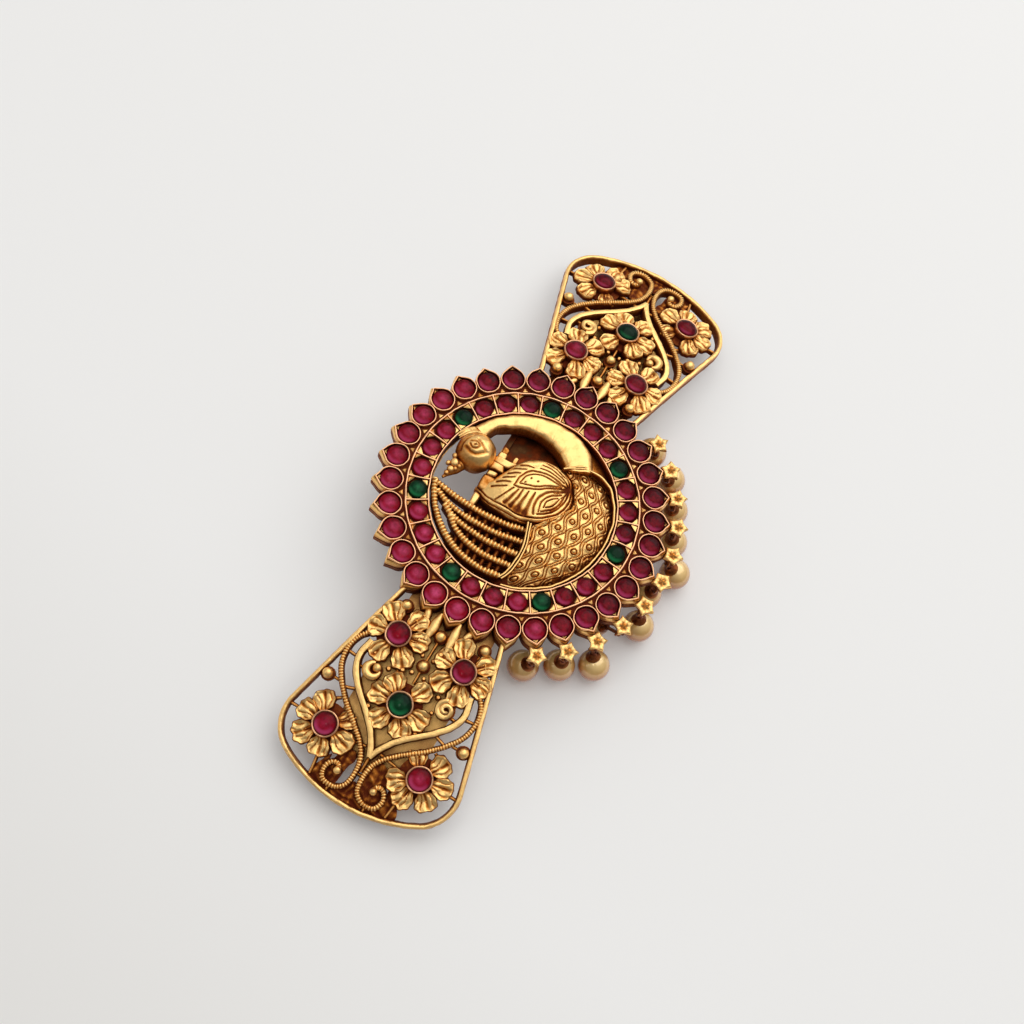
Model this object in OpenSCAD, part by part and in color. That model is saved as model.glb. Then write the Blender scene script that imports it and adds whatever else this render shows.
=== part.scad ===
// An arched hair clip in the temple style: a round medallion of set stones
// with a peacock in its opening, a pierced cast wing on each side, pearl
// drops along one edge, and a plain strip and clasp beneath.
// The origin is on the surface that it rests on, below the medallion's
// centre. +X runs along the clip and +Y points away from the pearls.

/* [Overall] */
// Height of the medallion's face above the surface below
stone_z = 11; // [11:0.5:13]
// Radius that the wings and the strip are arched to
arch_r = 165; // [155:5:200]
// Gap left between pieces that are seated on each other
seat = 0.1; // [0.05:0.01:0.15]

/* [Medallion] */
// Radius of the circle through the outer stones
outer_ring_r = 20; // [19.9:0.1:20.2]
// Number of outer stones
outer_count = 32; // [32]
// Radius of the circle through the channel's stones
channel_ring_r = 15.85; // [15.7:0.05:16]
// Number of stones in the channel
channel_count = 28; // [28]
// Radius of the round opening that holds the peacock
opening_r = 14.1; // [14.05:0.05:14.2]
// Depth of the petal-shaped settings
setting_depth = 3.2; // [2.8:0.1:3.2]
// Depth of the ring that carries the channel
ring_depth = 2.5; // [2.2:0.1:2.5]

/* [Stones] */
// Radius of the outer stones
outer_stone_r = 1.6; // [1.5:0.05:1.65]
// Radius of the channel's stones
channel_stone_r = 1.45; // [1.35:0.05:1.5]
// Radius of the stones in the flowers
flower_stone_r = 1.65; // [1.5:0.05:1.7]
// Height of a stone's dome above its girdle
dome_h = 0.7; // [0.5:0.05:0.9]

/* [Wings] */
// Distance from the middle to the end of a wing
wing_end = 51.3; // [50:0.1:52]
// Half width of a wing where it meets the medallion
wing_root_w = 9.1; // [8.8:0.1:9.4]
// Radius of a wing's outer corners
corner_r = 6.2; // [5.8:0.1:6.4]
// Thickness of the pierced casting
wing_t = 1.6; // [1.4:0.1:1.7]
// Width of the plain wires of frame and ogee
wire_w = 0.85; // [0.7:0.05:0.95]
// Width of the milled wires that curl into scrolls
rope_w = 0.75; // [0.65:0.05:0.8]

/* [Strip and clasp] */
// Half width of the strip beneath the castings
strip_w = 7; // [6.5:0.1:7]
// Half length of the strip
strip_l = 44; // [42:0.5:45]
// Thickness of the strip
strip_t = 0.9; // [0.7:0.1:0.9]
// Half length of the clasp
clasp_l = 35; // [34:0.5:36]
// Half width of the clasp's bar
clasp_w = 3; // [2.5:0.1:3.5]
// Thickness of the clasp's bar
clasp_t = 1.6; // [1.4:0.1:1.7]

/* [Pearls] */
// Radius of a pearl
pearl_r = 2.45; // [2.3:0.05:2.5]
// Radius of the circle through the star caps
star_ring_r = 23.8; // [23.7:0.1:24]

/* [Hidden] */
$fn = 48;
arch_z = stone_z + 0.3;
strip_z = arch_z - 2.95;
ring_fn = 180;
band_fn = 240;
lip_w = 0.9;
lip_h = 0.6;
lip_l = 16;
rim_w = 0.35;
bezel_wall = 0.3;
girdle_h = 0.5;
stone_gap = 0.05;
outer_step = 360 / outer_count;
channel_step = 360 / channel_count;
setting_r = outer_stone_r + bezel_wall;
setting_tip = 2.35;
channel_in = opening_r;
channel_out = 17.75;
wing_start = 22.6;
emerald_every = 4;
star_count = 11;
eye_r = 0.7;
eye_wire = 0.2;
pin_r = 0.28;
pearl_hole_r = 0.4;
pearl_rest = 0.1;

// Centre x, centre y, reach of the petals and angle of the first petal
FLOWERS = [
    [27.1, -5.4, 3.4, 40],
    [27.1, 5.4, 3.4, 20],
    [35.4, 0, 3.4, 30],
    [42.7, -7.7, 3.8, 13],
    [42.7, 7.7, 3.8, 42]
];
PETALS = 6;
petal_l = 1.65;
petal_w = 1.3;
flower_heart_r = 2.5;
flower_bezel_r = flower_stone_r + bezel_wall;
bezel_rise = 0.9;
bezel_sides = 24;

// One side's half of the plain ogee wire and of the milled scroll wire
OGEE = [[30, 8.3], [32.5, 8.7], [36, 7.1], [38.5, 4.5], [41, 1.7], [43.6, 0]];
ROPE = [[29, 9.3], [30.2, 10.3], [32.5, 10.7], [36, 9.7], [38.5, 7.7], [41, 5],
    [43.5, 2.2], [45.5, 0.95], [47.5, 0.9], [49.2, 2], [49.5, 3.6], [48.3, 4.8],
    [46.7, 4.3], [46.4, 3.2], [47.3, 2.8]];
// Short ties that join the wires, as start and end; each also mirrored
TIES = [
    [[31.3, 10.6], [31, 12]], [[32.6, 8.7], [32.4, 10.7]], [[36.6, 6.8], [37.2, 8.8]],
    [[36.6, 9.4], [36.6, 13]], [[27.3, 9.4], [27.2, 11]], [[42.6, 12.4], [42.6, 14]],
    [[46.4, 0.9], [46.4, -0.9]], [[49.3, 3], [51, 3]], [[26.6, 0], [26.6, 1.4]],
    [[30.8, 3.4], [33, 1.8]], [[22.8, 6.5], [24.4, 6.2]], [[25, 1.7], [26.2, 1.9]],
    [[33.3, 6.4], [33.6, 8.6]], [[31, 6.6], [32.6, 6.1]], [[46.6, 6.6], [49.9, 6.2]]
];
// Centre and radius of the small round grains; each also mirrored
GRAINS = [[24.4, 0, 0.75], [29.2, 0, 0.75], [22.9, 6.5, 0.65], [36.6, 11.2, 0.8]];

// Where each pearl lies, for the star caps in order along the edge
PEARLS = [
    [-19.6, -12.2], [-16.7, -16.8], [-13.9, -21.3], [-7.7, -18.2], [-4.9, -24.3],
    [0.4, -22.9], [5.6, -25.3], [10, -22.6], [14.8, -20.3], [19.2, -17.6], [21.8, -12.9]
];

// The peacock: outlines on the plan and heights against the medallion's face
BIRD_WING = [[-2.2, 7.2], [-3.5, 3], [-3.6, 0], [-2.5, -3], [0, -5.6], [2.5, -6.5],
    [5, -5.6], [7.4, -2.5], [7, 1], [5, 3.6], [2, 5], [-0.5, 6.8]];
BREAST_EDGE = [[-13.6, -2.9], [-11, -3.6], [-8, -3.9], [-5, -3.6], [-2.6, -3.2], [3, -1.6], [8.4, -4.4]];
TAIL = [
    [[-4.2, -3.4], [-4.9, 3], [-5, 8], [-4.4, 13]],
    [[-6.2, -3.8], [-6.8, 3], [-6.8, 8], [-6, 12.6]],
    [[-8.3, -3.9], [-8.5, 3], [-8, 7], [-7, 10.6]],
    [[-10.3, -3.7], [-10.5, 3], [-9.8, 6.5], [-8.8, 8.6]],
    [[-12.5, -3.2], [-12.6, 2], [-11.5, 6.6], [-9, 10.2], [-6, 12.4], [-4.4, 13]]
];
WING_RIBS = [
    [[-1.6, 6.4], [-2.6, 2], [-2.2, -2], [0.6, -5]],
    [[-0.6, 5.8], [1, 2], [3.4, -2], [4.6, -5]],
    [[1.6, 4.6], [4, 2.2], [5.4, -1], [5.2, -4.6]],
    [[4.4, 3.4], [6.2, 0.6], [6.6, -2], [5.8, -4.4]]
];
tail_w = 0.8;
tail_rungs = 6;
bird_floor = strip_z + lip_h + seat;
bird_r = opening_r - 0.15;

GOLD = "goldenrod";
DARK = "saddlebrown";
RUBY = "crimson";
EMERALD = "seagreen";
PEARL = "wheat";

// Points of a smooth line through the points p, with n steps between two
function smooth(p, n = 4) = let (last = len(p) - 1) concat(
    [for (i = [0:last - 1], s = [0:n - 1])
        let (a = p[max(i - 1, 0)], b = p[i], c = p[i + 1], d = p[min(i + 2, last)], t = s / n)
        0.5 * (2 * b + (c - a) * t + (2 * a - 5 * b + 4 * c - d) * t * t
            + (3 * b - a - 3 * c + d) * t * t * t)],
    [p[last]]);

// Unit vector to the left of the line p at its point i
function left(p, i) =
    let (d = p[min(i + 1, len(p) - 1)] - p[max(i - 1, 0)]) [-d[1], d[0]] / norm(d);

// How far a circle of radius r drops at the distance d from its top
function sag(r, d) = r - sqrt(r * r - d * d);

// Plan of a wire of width w along the points p
module wire(p, w) {
    last = len(p) - 1;
    polygon(concat(
        [for (i = [0:last]) p[i] + left(p, i) * w / 2],
        [for (i = [last:-1:0]) p[i] - left(p, i) * w / 2]));
    for (q = [p[0], p[last]]) translate(q) circle(w / 2, $fn = 12);
}

module both_sides() {
    children();
    mirror([0, 1]) children();
}

// Plan of a whole wing, without the cut for the medallion
module wing_outline() {
    corner = [43.1, 14.45 - corner_r];
    root = [20, wing_root_w - 0.6];
    side = corner - root;
    turn = atan2(side[1], side[0]) + asin(corner_r / norm(side));
    reach = wing_end - corner[0];
    end_r = (reach * reach + corner[1] * corner[1] - corner_r * corner_r) / (2 * (reach - corner_r));
    end_x = wing_end - end_r;
    end_turn = atan2(corner[1], corner[0] - end_x);
    half = concat(
        [root],
        [for (k = [0:8]) let (g = turn + 90 + (end_turn - turn - 90) * k / 8)
            corner + corner_r * [cos(g), sin(g)]],
        [for (k = [1:5]) let (g = end_turn * (1 - k / 6)) [end_x + end_r * cos(g), end_r * sin(g)]]);
    count = len(half);
    polygon(concat(half, [[wing_end, 0]], [for (k = [count - 1:-1:0]) [half[k][0], -half[k][1]]]));
}

// Children's plan raised as a band of the arch, between two levels
// measured from the wings' top face
module on_arch(low, high) {
    intersection() {
        translate([0, 0, arch_z - arch_r]) difference() {
            sphere(arch_r + high, $fn = band_fn);
            sphere(arch_r + low, $fn = band_fn);
        }
        linear_extrude(height = arch_z + high + 1) children();
    }
}

module wing_frame_plan() {
    difference() {
        wing_outline();
        offset(delta = -wire_w) wing_outline();
        circle(wing_start, $fn = ring_fn);
    }
}

module wing_wire_plan() {
    offset(delta = 0.02) {
        wing_frame_plan();
        both_sides() {
            wire(smooth(OGEE), wire_w);
            wire(smooth(ROPE, 3), rope_w);
        }
    }
}

// Plan of a flower's petals, drawn in from their edges by inset
module petals_plan(f, inset) {
    for (k = [0:PETALS - 1]) rotate(f[3] + k * 360 / PETALS)
        polygon([for (g = [0:24:336]) [f[2] + (petal_l - inset) * cos(g), (petal_w - inset) * sin(g)]]);
}

// Petals, leaves, ties and the hidden rib along the medallion's edge
module wing_low_plan() {
    spiral = [for (k = [0:14]) let (g = 40 * k, r = 0.35 + 0.07 * k) [32.9, 5.9] + r * [cos(g), sin(g)]];
    offset(delta = 0.03) intersection() {
        wing_outline();
        difference() {
            union() {
                circle(wing_start + 0.8, $fn = ring_fn);
                for (f = FLOWERS) translate([f[0], f[1]]) {
                    circle(flower_heart_r, $fn = 24);
                    petals_plan(f, 0);
                }
                both_sides() {
                    for (t = TIES) wire(t, 0.4);
                    wire([[wing_start, 1.4], [24, 1.9], [25.4, 1.6]], 0.7);
                }
                wire([[24.4, 0], [33.6, 0]], 0.35);
                wire([[43, 0], [46, 0]], 0.5);
                wire(spiral, 0.5);
                translate([33.1, -5.9]) difference() {
                    circle(1.3, $fn = 16);
                    translate([-0.6, 0.4]) circle(0.75, $fn = 16);
                }
            }
            circle(wing_start, $fn = ring_fn);
        }
    }
}

// Children standing on the wings' top face at a place on the plan, square to it
module standing(x, y) {
    translate([0, 0, arch_z - arch_r]) along([x, y, sqrt(arch_r * arch_r - x * x - y * y)])
        translate([0, 0, arch_r]) children();
}

// Cup of a flower's stone; where the strip passes beneath, it reaches down to it
module flower_setting(f) {
    on_strip = f[0] < strip_l - 4 && abs(f[1]) < strip_w;
    depth = on_strip ? arch_z - strip_z - seat - sag(arch_r, abs(f[1]) + flower_bezel_r) : wing_t;
    standing(f[0], f[1]) translate([0, 0, -depth]) linear_extrude(height = depth + bezel_rise)
        polygon([for (k = [1:bezel_sides]) flower_bezel_r * [cos(k * 360 / bezel_sides), sin(k * 360 / bezel_sides)]]);
}

// Petals raised above the openwork, crowned along their length
module flower_petals(f) {
    crown_r = 2.6;
    standing(f[0], f[1]) intersection() {
        translate([0, 0, -wing_t / 2 - 0.3]) linear_extrude(height = 2) petals_plan(f, 0.1);
        translate([0, 0, 0.35 - crown_r]) rotate_extrude() translate([f[2] - 0.1, 0]) circle(crown_r);
    }
}

module flower_pocket(f) {
    standing(f[0], f[1]) translate([0, 0, bezel_rise - girdle_h - 2 * stone_gap])
        cylinder(2, r = flower_stone_r + stone_gap);
}

module wing() {
    color(GOLD) difference() {
        union() {
            on_arch(-wing_t, 0) wing_wire_plan();
            on_arch(-wing_t + 0.15, -0.55) wing_low_plan();
            for (f = FLOWERS) {
                flower_setting(f);
                flower_petals(f);
            }
            for (s = [-1, 1], g = GRAINS) if (s > 0 || g[1] != 0)
                standing(g[0], s * g[1]) translate([0, 0, -0.2]) sphere(g[2]);
        }
        for (f = FLOWERS) flower_pocket(f);
    }
}

module wing_left() {
    rotate(180) wing();
}

module wing_right() {
    wing();
}

// Plan of one petal-shaped setting, pointing along +X
module setting_plan(r, tip) {
    g = acos(r / tip);
    circle(r);
    polygon([[0, 0], [r * cos(g), -r * sin(g)], [tip, 0], [r * cos(g), r * sin(g)]]);
}

module around(n, r) {
    for (k = [0:n - 1]) rotate(k * 360 / n) translate([r, 0, 0]) children();
}

// Star cap, its stalk and the arm that holds it, at the end of a radius
module star_cap() {
    arm_z = stone_z - 1.7;
    translate([star_ring_r, 0, stone_z - 1.1]) linear_extrude(height = 0.7)
        polygon([for (k = [0:9]) (k % 2 == 0 ? 1.3 : 0.72) * [cos(36 * k), sin(36 * k)]]);
    translate([star_ring_r, 0, arm_z - 0.5]) cylinder(1.3, r = 0.65);
    translate([outer_ring_r + 1.2, 0, arm_z]) rotate([0, 90, 0])
        cylinder(star_ring_r - outer_ring_r - 1.2, r = 0.4);
    translate([star_ring_r, 0, arm_z - 0.5 - eye_r]) rotate([90, 0, 0]) rotate_extrude()
        translate([eye_r, 0]) circle(eye_wire, $fn = 24);
}

module medallion() {
    color(GOLD) difference() {
        union() {
            translate([0, 0, stone_z]) rotate_extrude($fn = ring_fn) polygon([
                [channel_in, -ring_depth], [outer_ring_r - 1, -ring_depth], [outer_ring_r - 1, -0.6],
                [channel_out, -0.6], [channel_out, 0], [channel_out - rim_w, 0],
                [channel_out - rim_w, -0.3], [channel_in + rim_w, -0.3], [channel_in + rim_w, 0],
                [channel_in, 0]]);
            translate([0, 0, stone_z - setting_depth]) linear_extrude(height = setting_depth)
                around(outer_count, outer_ring_r) setting_plan(setting_r, setting_tip);
            for (k = [0:channel_count - 1]) rotate((k + 0.5) * channel_step)
                translate([channel_in + 0.1, -0.15, stone_z - 0.9])
                    cube([channel_out - channel_in - 0.2, 0.3, 0.88]);
            for (k = [-5:5]) rotate(-90 + k * outer_step) star_cap();
        }
        around(outer_count, outer_ring_r) {
            translate([0, 0, stone_z - 0.3]) linear_extrude(height = 1)
                setting_plan(setting_r - bezel_wall + 0.02, setting_tip - 0.4);
            translate([0, 0, stone_z - girdle_h - 2 * stone_gap - 0.3])
                cylinder(2, r = outer_stone_r + stone_gap);
        }
        around(channel_count, channel_ring_r)
            translate([0, 0, stone_z - girdle_h - 2 * stone_gap - 0.3])
                cylinder(2, r = channel_stone_r + stone_gap);
    }
}

// Round domed stone with its base at z = 0
module stone(r) {
    dome_r = (r * r + dome_h * dome_h) / (2 * dome_h);
    intersection() {
        cylinder(girdle_h + dome_h, r = r);
        translate([0, 0, girdle_h + dome_h - dome_r]) sphere(dome_r, $fn = 64);
    }
}

module ring_stone(ring_r, step, k, r) {
    rotate(k * step) translate([ring_r, 0, stone_z - girdle_h - stone_gap - 0.3]) stone(r);
}

function is_emerald(k) = k % emerald_every == 1;

module outer_rubies() {
    color(RUBY) for (k = [0:outer_count - 1]) ring_stone(outer_ring_r, outer_step, k, outer_stone_r);
}

module channel_rubies() {
    color(RUBY) for (k = [0:channel_count - 1]) if (!is_emerald(k))
        ring_stone(channel_ring_r, channel_step, k, channel_stone_r);
}

module channel_emerald(n) {
    color(EMERALD) ring_stone(channel_ring_r, channel_step, 1 + (n - 1) * emerald_every, channel_stone_r);
}

module flower_stone(n, turn, shade) {
    f = FLOWERS[n];
    color(shade) rotate(turn)
        standing(f[0], f[1]) translate([0, 0, bezel_rise - girdle_h - stone_gap]) stone(flower_stone_r);
}

// Band of the strip's arch, bent about Y only
module strip_band(low, high, length, width) {
    intersection() {
        translate([0, 0, strip_z - arch_r]) rotate([90, 0, 0]) difference() {
            cylinder(2 * width + 2, r = arch_r + high, center = true, $fn = band_fn * 2);
            cylinder(2 * width + 4, r = arch_r + low, center = true, $fn = band_fn * 2);
        }
        translate([-length, -width, 0]) cube([2 * length, 2 * width, strip_z + high + 1]);
    }
}

module clip_strip() {
    color(GOLD) union() {
        strip_band(-strip_t, 0, strip_l, strip_w);
        difference() {
            strip_band(-strip_t / 2, lip_h, lip_l, strip_w);
            strip_band(-strip_t, 2 * lip_h, lip_l + 1, strip_w - lip_w);
        }
    }
}

// A plain closed clasp: a flat bar with an upright at each end
module clasp() {
    upright = 4;
    color(DARK) intersection() {
        translate([0, 0, strip_z - arch_r]) rotate([90, 0, 0])
            cylinder(4 * clasp_w, r = arch_r - strip_t - seat, center = true, $fn = band_fn * 2);
        union() {
            translate([-clasp_l, -clasp_w, 0]) cube([2 * clasp_l, 2 * clasp_w, clasp_t]);
            for (s = [-1, 1]) translate([s * (clasp_l - upright / 2) - upright / 2, -clasp_w, 0])
                cube([upright, 2 * clasp_w, strip_z]);
        }
    }
}

// Children's plan raised from the peacock's floor to a dome's surface:
// the dome has radius r, its top above c at the level top
module domed(c, r, top) {
    intersection() {
        translate([c[0], c[1], stone_z + top - r]) sphere(r, $fn = 96);
        translate([0, 0, bird_floor]) linear_extrude(height = stone_z + top - bird_floor) children();
    }
}

module breast_plan() {
    intersection() {
        circle(bird_r - 0.5);
        polygon(concat(BREAST_EDGE, [[12, -7], [12, -20], [-14, -20], [-14, -3]]));
    }
}

module neck_plan() {
    difference() {
        circle(bird_r);
        translate([3.2, 3.4]) circle(7.15);
        polygon([[5.2, 20], [6.2, 10], [6, 3], [7.4, -2.2], [9.4, -7], [14, -9], [0, -30], [-30, -30],
            [-30, 30], [5.2, 30]]);
    }
}

module peacock() {
    rung_step = 1.35;
    color(GOLD) union() {
        domed([-1, -7], 24, 1.2) breast_plan();
        domed([2, 0], 15, 1.6) polygon(BIRD_WING);
        for (p = WING_RIBS) domed([2, 0], 15.3, 1.9) wire(smooth(p, 3), 0.45);
        intersection() {
            translate([0, 0, stone_z - 3.2]) rotate_extrude() translate([11.8, 0]) circle(4);
            translate([0, 0, bird_floor]) linear_extrude(height = 4) neck_plan();
        }
        translate([2.6, 10.1, stone_z - 0.9]) sphere(3.2);
        translate([3.4, 10.8, stone_z + 2]) cylinder(0.5, r = 0.8);
        translate([0.6, 11.2, stone_z - 0.4]) rotate([0, -90, -8]) cylinder(4, r1 = 1.3, r2 = 0.35);
        for (g = [[-0.8, 11.9], [0.1, 11.3], [-1.5, 11.5]])
            translate([g[0], g[1], stone_z + 0.5]) sphere(0.45);
        translate([1.4, 4, bird_floor]) cube([2.2, 4, stone_z - bird_floor]);
        translate([4.2, 9.2, bird_floor]) rotate(40) cube([2.8, 2.2, stone_z - bird_floor + 0.3]);
        for (p = TAIL) translate([0, 0, stone_z - 1.6]) linear_extrude(height = 2)
            intersection() {
                circle(bird_r);
                wire(smooth(p, 3), tail_w);
            }
        for (k = [0:tail_rungs - 1]) translate([-12.6, -2 + k * rung_step, stone_z - 1.4])
            cube([8, 0.4, 1]);
        translate([-5, 1.8, bird_floor]) cube([3, 1, stone_z - bird_floor - 0.8]);
        for (row = [0:2], k = [0:3]) let (x = -6 + 3.6 * k + 1.8 * (row % 2), y = -5.6 - 2.1 * row)
            if (norm([x, y]) < bird_r - 2 && (x < 0 || row > 0))
                translate([x, y, stone_z + 1.2 - sag(24, norm([x + 1, y + 7]))]) sphere(0.5);
    }
}

// Centre of the eye below star cap n, counted along the edge from 1
function eye_at(n) = let (g = -90 + (n - 6) * outer_step)
    [star_ring_r * cos(g), star_ring_r * sin(g), stone_z - 2.2 - eye_r];

function pearl_at(n) = [PEARLS[n - 1][0], PEARLS[n - 1][1], pearl_r + pearl_rest];

// Turns children so that +Z points along the vector v
module along(v) {
    rotate([0, acos(v[2] / norm(v)), atan2(v[1], v[0])]) children();
}

// Pin with its ring round the eye, its cup on the pearl and its end inside
module pearl_pin(n) {
    ring_c = eye_at(n) - [0, 0, eye_r];
    start = ring_c - [0, 0, eye_r];
    v = pearl_at(n) - start;
    translate(ring_c) rotate(-90 + (n - 6) * outer_step) rotate([90, 0, 90])
        rotate_extrude() translate([eye_r, 0]) circle(eye_wire, $fn = 24);
    translate(start) along(v) {
        cylinder(norm(v) + pearl_r * 0.6, r = pin_r);
        translate([0, 0, norm(v) - pearl_r - 0.9]) cylinder(0.8, r1 = 0.5, r2 = 1.1);
    }
}

module pearl_pins() {
    color(DARK) for (n = [1:star_count]) pearl_pin(n);
}

module pearl(n) {
    ring_c = eye_at(n) - [0, 0, 2 * eye_r];
    color(PEARL) translate(pearl_at(n)) along(pearl_at(n) - ring_c) difference() {
        sphere(pearl_r);
        cylinder(3 * pearl_r, r = pearl_hole_r, center = true);
    }
}

wing_left();
wing_right();
medallion();
peacock();
clip_strip();
clasp();
outer_rubies();
channel_rubies();
flower_stone(2, 180, EMERALD);  // wing_emerald_left
flower_stone(2, 0, EMERALD);  // wing_emerald_right
pearl_pins();
for (k = [1:7]) channel_emerald(k);
for (k = [1:4]) let (f = [0, 1, 3, 4][k - 1]) {
    flower_stone(f, 180, RUBY);
    flower_stone(f, 0, RUBY);
}
for (k = [1:star_count]) pearl(k);
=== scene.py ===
"""Looks of an arched hair clip in the temple style: a round medallion of set stones with a
peacock in its opening, pierced cast wings, star caps with pearl drops, a strip and a clasp."""

import math
import random

import bmesh
import bpy
import numpy as np
from mathutils import Matrix, Vector


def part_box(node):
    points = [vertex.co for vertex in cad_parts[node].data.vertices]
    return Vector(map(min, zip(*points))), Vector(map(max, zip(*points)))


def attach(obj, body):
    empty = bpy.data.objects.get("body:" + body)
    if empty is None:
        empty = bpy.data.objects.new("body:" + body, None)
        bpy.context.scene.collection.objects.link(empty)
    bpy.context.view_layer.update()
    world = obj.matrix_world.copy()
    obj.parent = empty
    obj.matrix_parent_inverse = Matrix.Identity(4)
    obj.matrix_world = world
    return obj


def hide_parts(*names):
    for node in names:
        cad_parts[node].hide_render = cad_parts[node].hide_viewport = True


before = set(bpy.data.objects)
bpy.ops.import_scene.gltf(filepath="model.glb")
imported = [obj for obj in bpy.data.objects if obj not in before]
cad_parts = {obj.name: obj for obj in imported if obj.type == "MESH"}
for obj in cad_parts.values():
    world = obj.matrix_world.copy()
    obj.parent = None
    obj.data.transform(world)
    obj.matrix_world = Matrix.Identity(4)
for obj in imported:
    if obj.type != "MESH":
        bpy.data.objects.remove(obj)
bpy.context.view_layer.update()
random.seed(7)

# Sizes in millimetres, in the part's own frame: +X along the clip, the pearls at -Y
MM = 0.001
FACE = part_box("medallion")[1].z / MM
WING_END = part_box("wing_right")[1].x / MM
ARCH_R = 165.0
ARCH_TOP = FACE + 0.3
ARCH_MIDDLE = np.array([0.0, 0.0, ARCH_TOP - ARCH_R])
BODY = "root"

OUTER_COUNT, OUTER_R = 32, 20.0
CELL_COUNT, CELL_R = 28, 15.85
OPENING_R, CHANNEL_OUT, RING_OUT = 14.1, 17.75, 19.0
RING_FLOOR, RING_SIDES = -2.5, 168
OUTER_STONE_R, CELL_STONE_R, FLOWER_STONE_R = 1.66, 1.46, 1.68
STONE_GIRDLE, STONE_DOME, STONE_SIDES = 0.42, 0.78, 28
SETTING_R, SETTING_TIP, SETTING_DEPTH, SETTING_WALL = 1.9, 2.35, 3.2, 0.105
STAR_R, STAR_COUNT = 23.8, 11
STAR_TIP, STAR_NOTCH = 1.62, 1.02
EMERALD_EVERY = 4
CUP_R, CUP_RISE = 1.95, 0.9
PETAL_REACH, PETAL_WIDTH, PETAL_ROOT = 5.0, 3.35, 1.5
PEARL_R, PEARL_HOLE_R = 2.45, 0.52
EYE_R, EYE_WIRE_R = 0.7, 0.2
# Undersides of the wings' wires, ties and frame below the arch, and of the peacock below the face
WIRE_FLOOR, TIE_FLOOR, FRAME_FLOOR, BIRD_FLOOR, SIDE_FLOOR = -1.4, -1.3, -1.6, -2.2, -2.4
# How deep below the face the stones' seats and the rings of the pearls are
SEAT_DEPTH, STAR_DEPTH = 0.85, 2.2
PIN_R, FRAME_HALF = 0.28, 0.42
# Which of the flowers below has the green stone
GREEN_FLOWER = 2
COIL_AT, CRESCENT_AT = (32.9, 5.9), (33.1, -5.9)
# Length of the waves in a casting's surface, and the angle from which an edge stays sharp
CASTING_WAVE, SHARP_ANGLE = 2.6, math.radians(40)

# Centre x, centre y and the angles of the petals of each flower
FLOWERS = [
    (27.1, -5.4, (40, 100, 154, 220, 276, 340)),
    (27.1, 5.4, (18, 80, 136, 208, 262, 321)),
    (35.4, 0.0, (30, 81, 149, 224, 271, 331)),
    (42.7, -7.7, (13, 71, 214, 263, 317)),
    (42.7, 7.7, (46, 99, 150, 302, 348)),
]
# Petals that a milled wire passes over: flower's centre x and y, and the angle
COVERED = [(42.7, -7.7, 128), (42.7, 7.7, 215)]
OGEE = [(29.6, 8.2), (32.2, 8.7), (34.4, 7.9), (36.5, 6.1), (38.3, 4.0), (40, 2.2), (41.9, 0.8), (43.6, 0)]
MILLED = [(28.8, 9.2), (30.1, 10.2), (32.2, 10.7), (34.7, 10.2), (36.9, 8.7), (39, 6.6), (40.8, 4.3),
          (42.6, 2.2), (44.4, 1.0), (46.5, 0.65), (48.4, 1.0), (49.4, 2.4), (49.2, 4.2), (47.8, 4.8),
          (46.6, 4.2), (46.5, 3.2), (47.3, 2.8)]
# Dark webs laid round the scrolls, under the wires
WEBS = [
    [(43.4, 1.7), (44.4, 1.0), (46.5, 0.6), (48.4, 1.0), (49.4, 2.4), (49.2, 4.1), (48, 4.7), (46.6, 4.3),
     (45.4, 4.2), (44, 3.2)],
    [(44.0, -2.0), (45.2, -1.5), (46.3, -2.0), (48, -2.2), (49.3, -2.6), (49.1, -4.1), (47.8, -4.7),
     (46, -4.2), (44.2, -3.6)],
    [(45.8, 4.9), (48, 4.8), (49.3, 4.0), (49.7, 2.4), (50.3, 2.6), (49.9, 6.2), (49.2, 7.6), (47.6, 7.0)],
    [(45.8, -4.9), (48, -4.8), (49.3, -4.0), (49.7, -2.4), (50.3, -2.6), (50.0, -6.0), (48.8, -6.4)],
    [(47.4, 0), (48.4, 0.9), (49.5, 2.4), (50.3, 2.4), (50.5, 0), (50.3, -2.4), (49.5, -2.4), (48.4, -0.9)]]
TIES = [((31.3, 10.5), (31, 11.1)), ((32.6, 8.7), (32.4, 10.7)), ((36.6, 6.8), (37.2, 8.8)),
        ((36.6, 9.4), (36.6, 12.3)), ((27.3, 9.2), (27.2, 10)), ((42.6, 12.4), (42.6, 13.9)),
        ((46.4, 0.9), (46.4, -0.9)), ((49.3, 3), (50.6, 3)), ((33.3, 6.4), (33.6, 8.6)),
        ((22.8, 6.5), (24.4, 6.2)), ((46.6, 6.6), (49.5, 6.2)), ((30.8, 3.4), (33, 1.8)),
        ((40, 4.4), (40.6, 5.3)), ((42.6, 1.2), (43.2, 5.4)), ((39.6, 9.4), (38.6, 7.8))]
# Ends, width and height of each leaf
LEAVES = [(((21.4, 1.5), (25.8, 1.75)), 0.75, 0.1), (((21.2, 3.9), (23.2, 2.9)), 0.6, -0.1)]
# Centre x, centre y, radius and whether the grain is on both sides
GRAINS = [(24.4, 0, 0.8, False), (29.2, 0, 0.8, False), (22.9, 6.5, 0.8, True), (36.6, 11.2, 0.82, True)]
# Small lumps between the flowers: centre x, centre y, radius
LUMPS = [(31.1, 2.3, 0.5), (31.9, 4.1, 0.45), (26.6, 1.3, 0.5), (30.7, 1.0, 0.4), (27.9, 0.9, 0.4),
         (24.2, 2.4, 0.55), (22.8, 3.6, 0.5), (37.8, 3.9, 0.45), (34.2, 4.4, 0.4), (30.9, 6.9, 0.4)]


def unit(v):
    v = np.asarray(v, float)
    return v / np.maximum(np.linalg.norm(v, axis=-1, keepdims=True), 1e-9)


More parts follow.
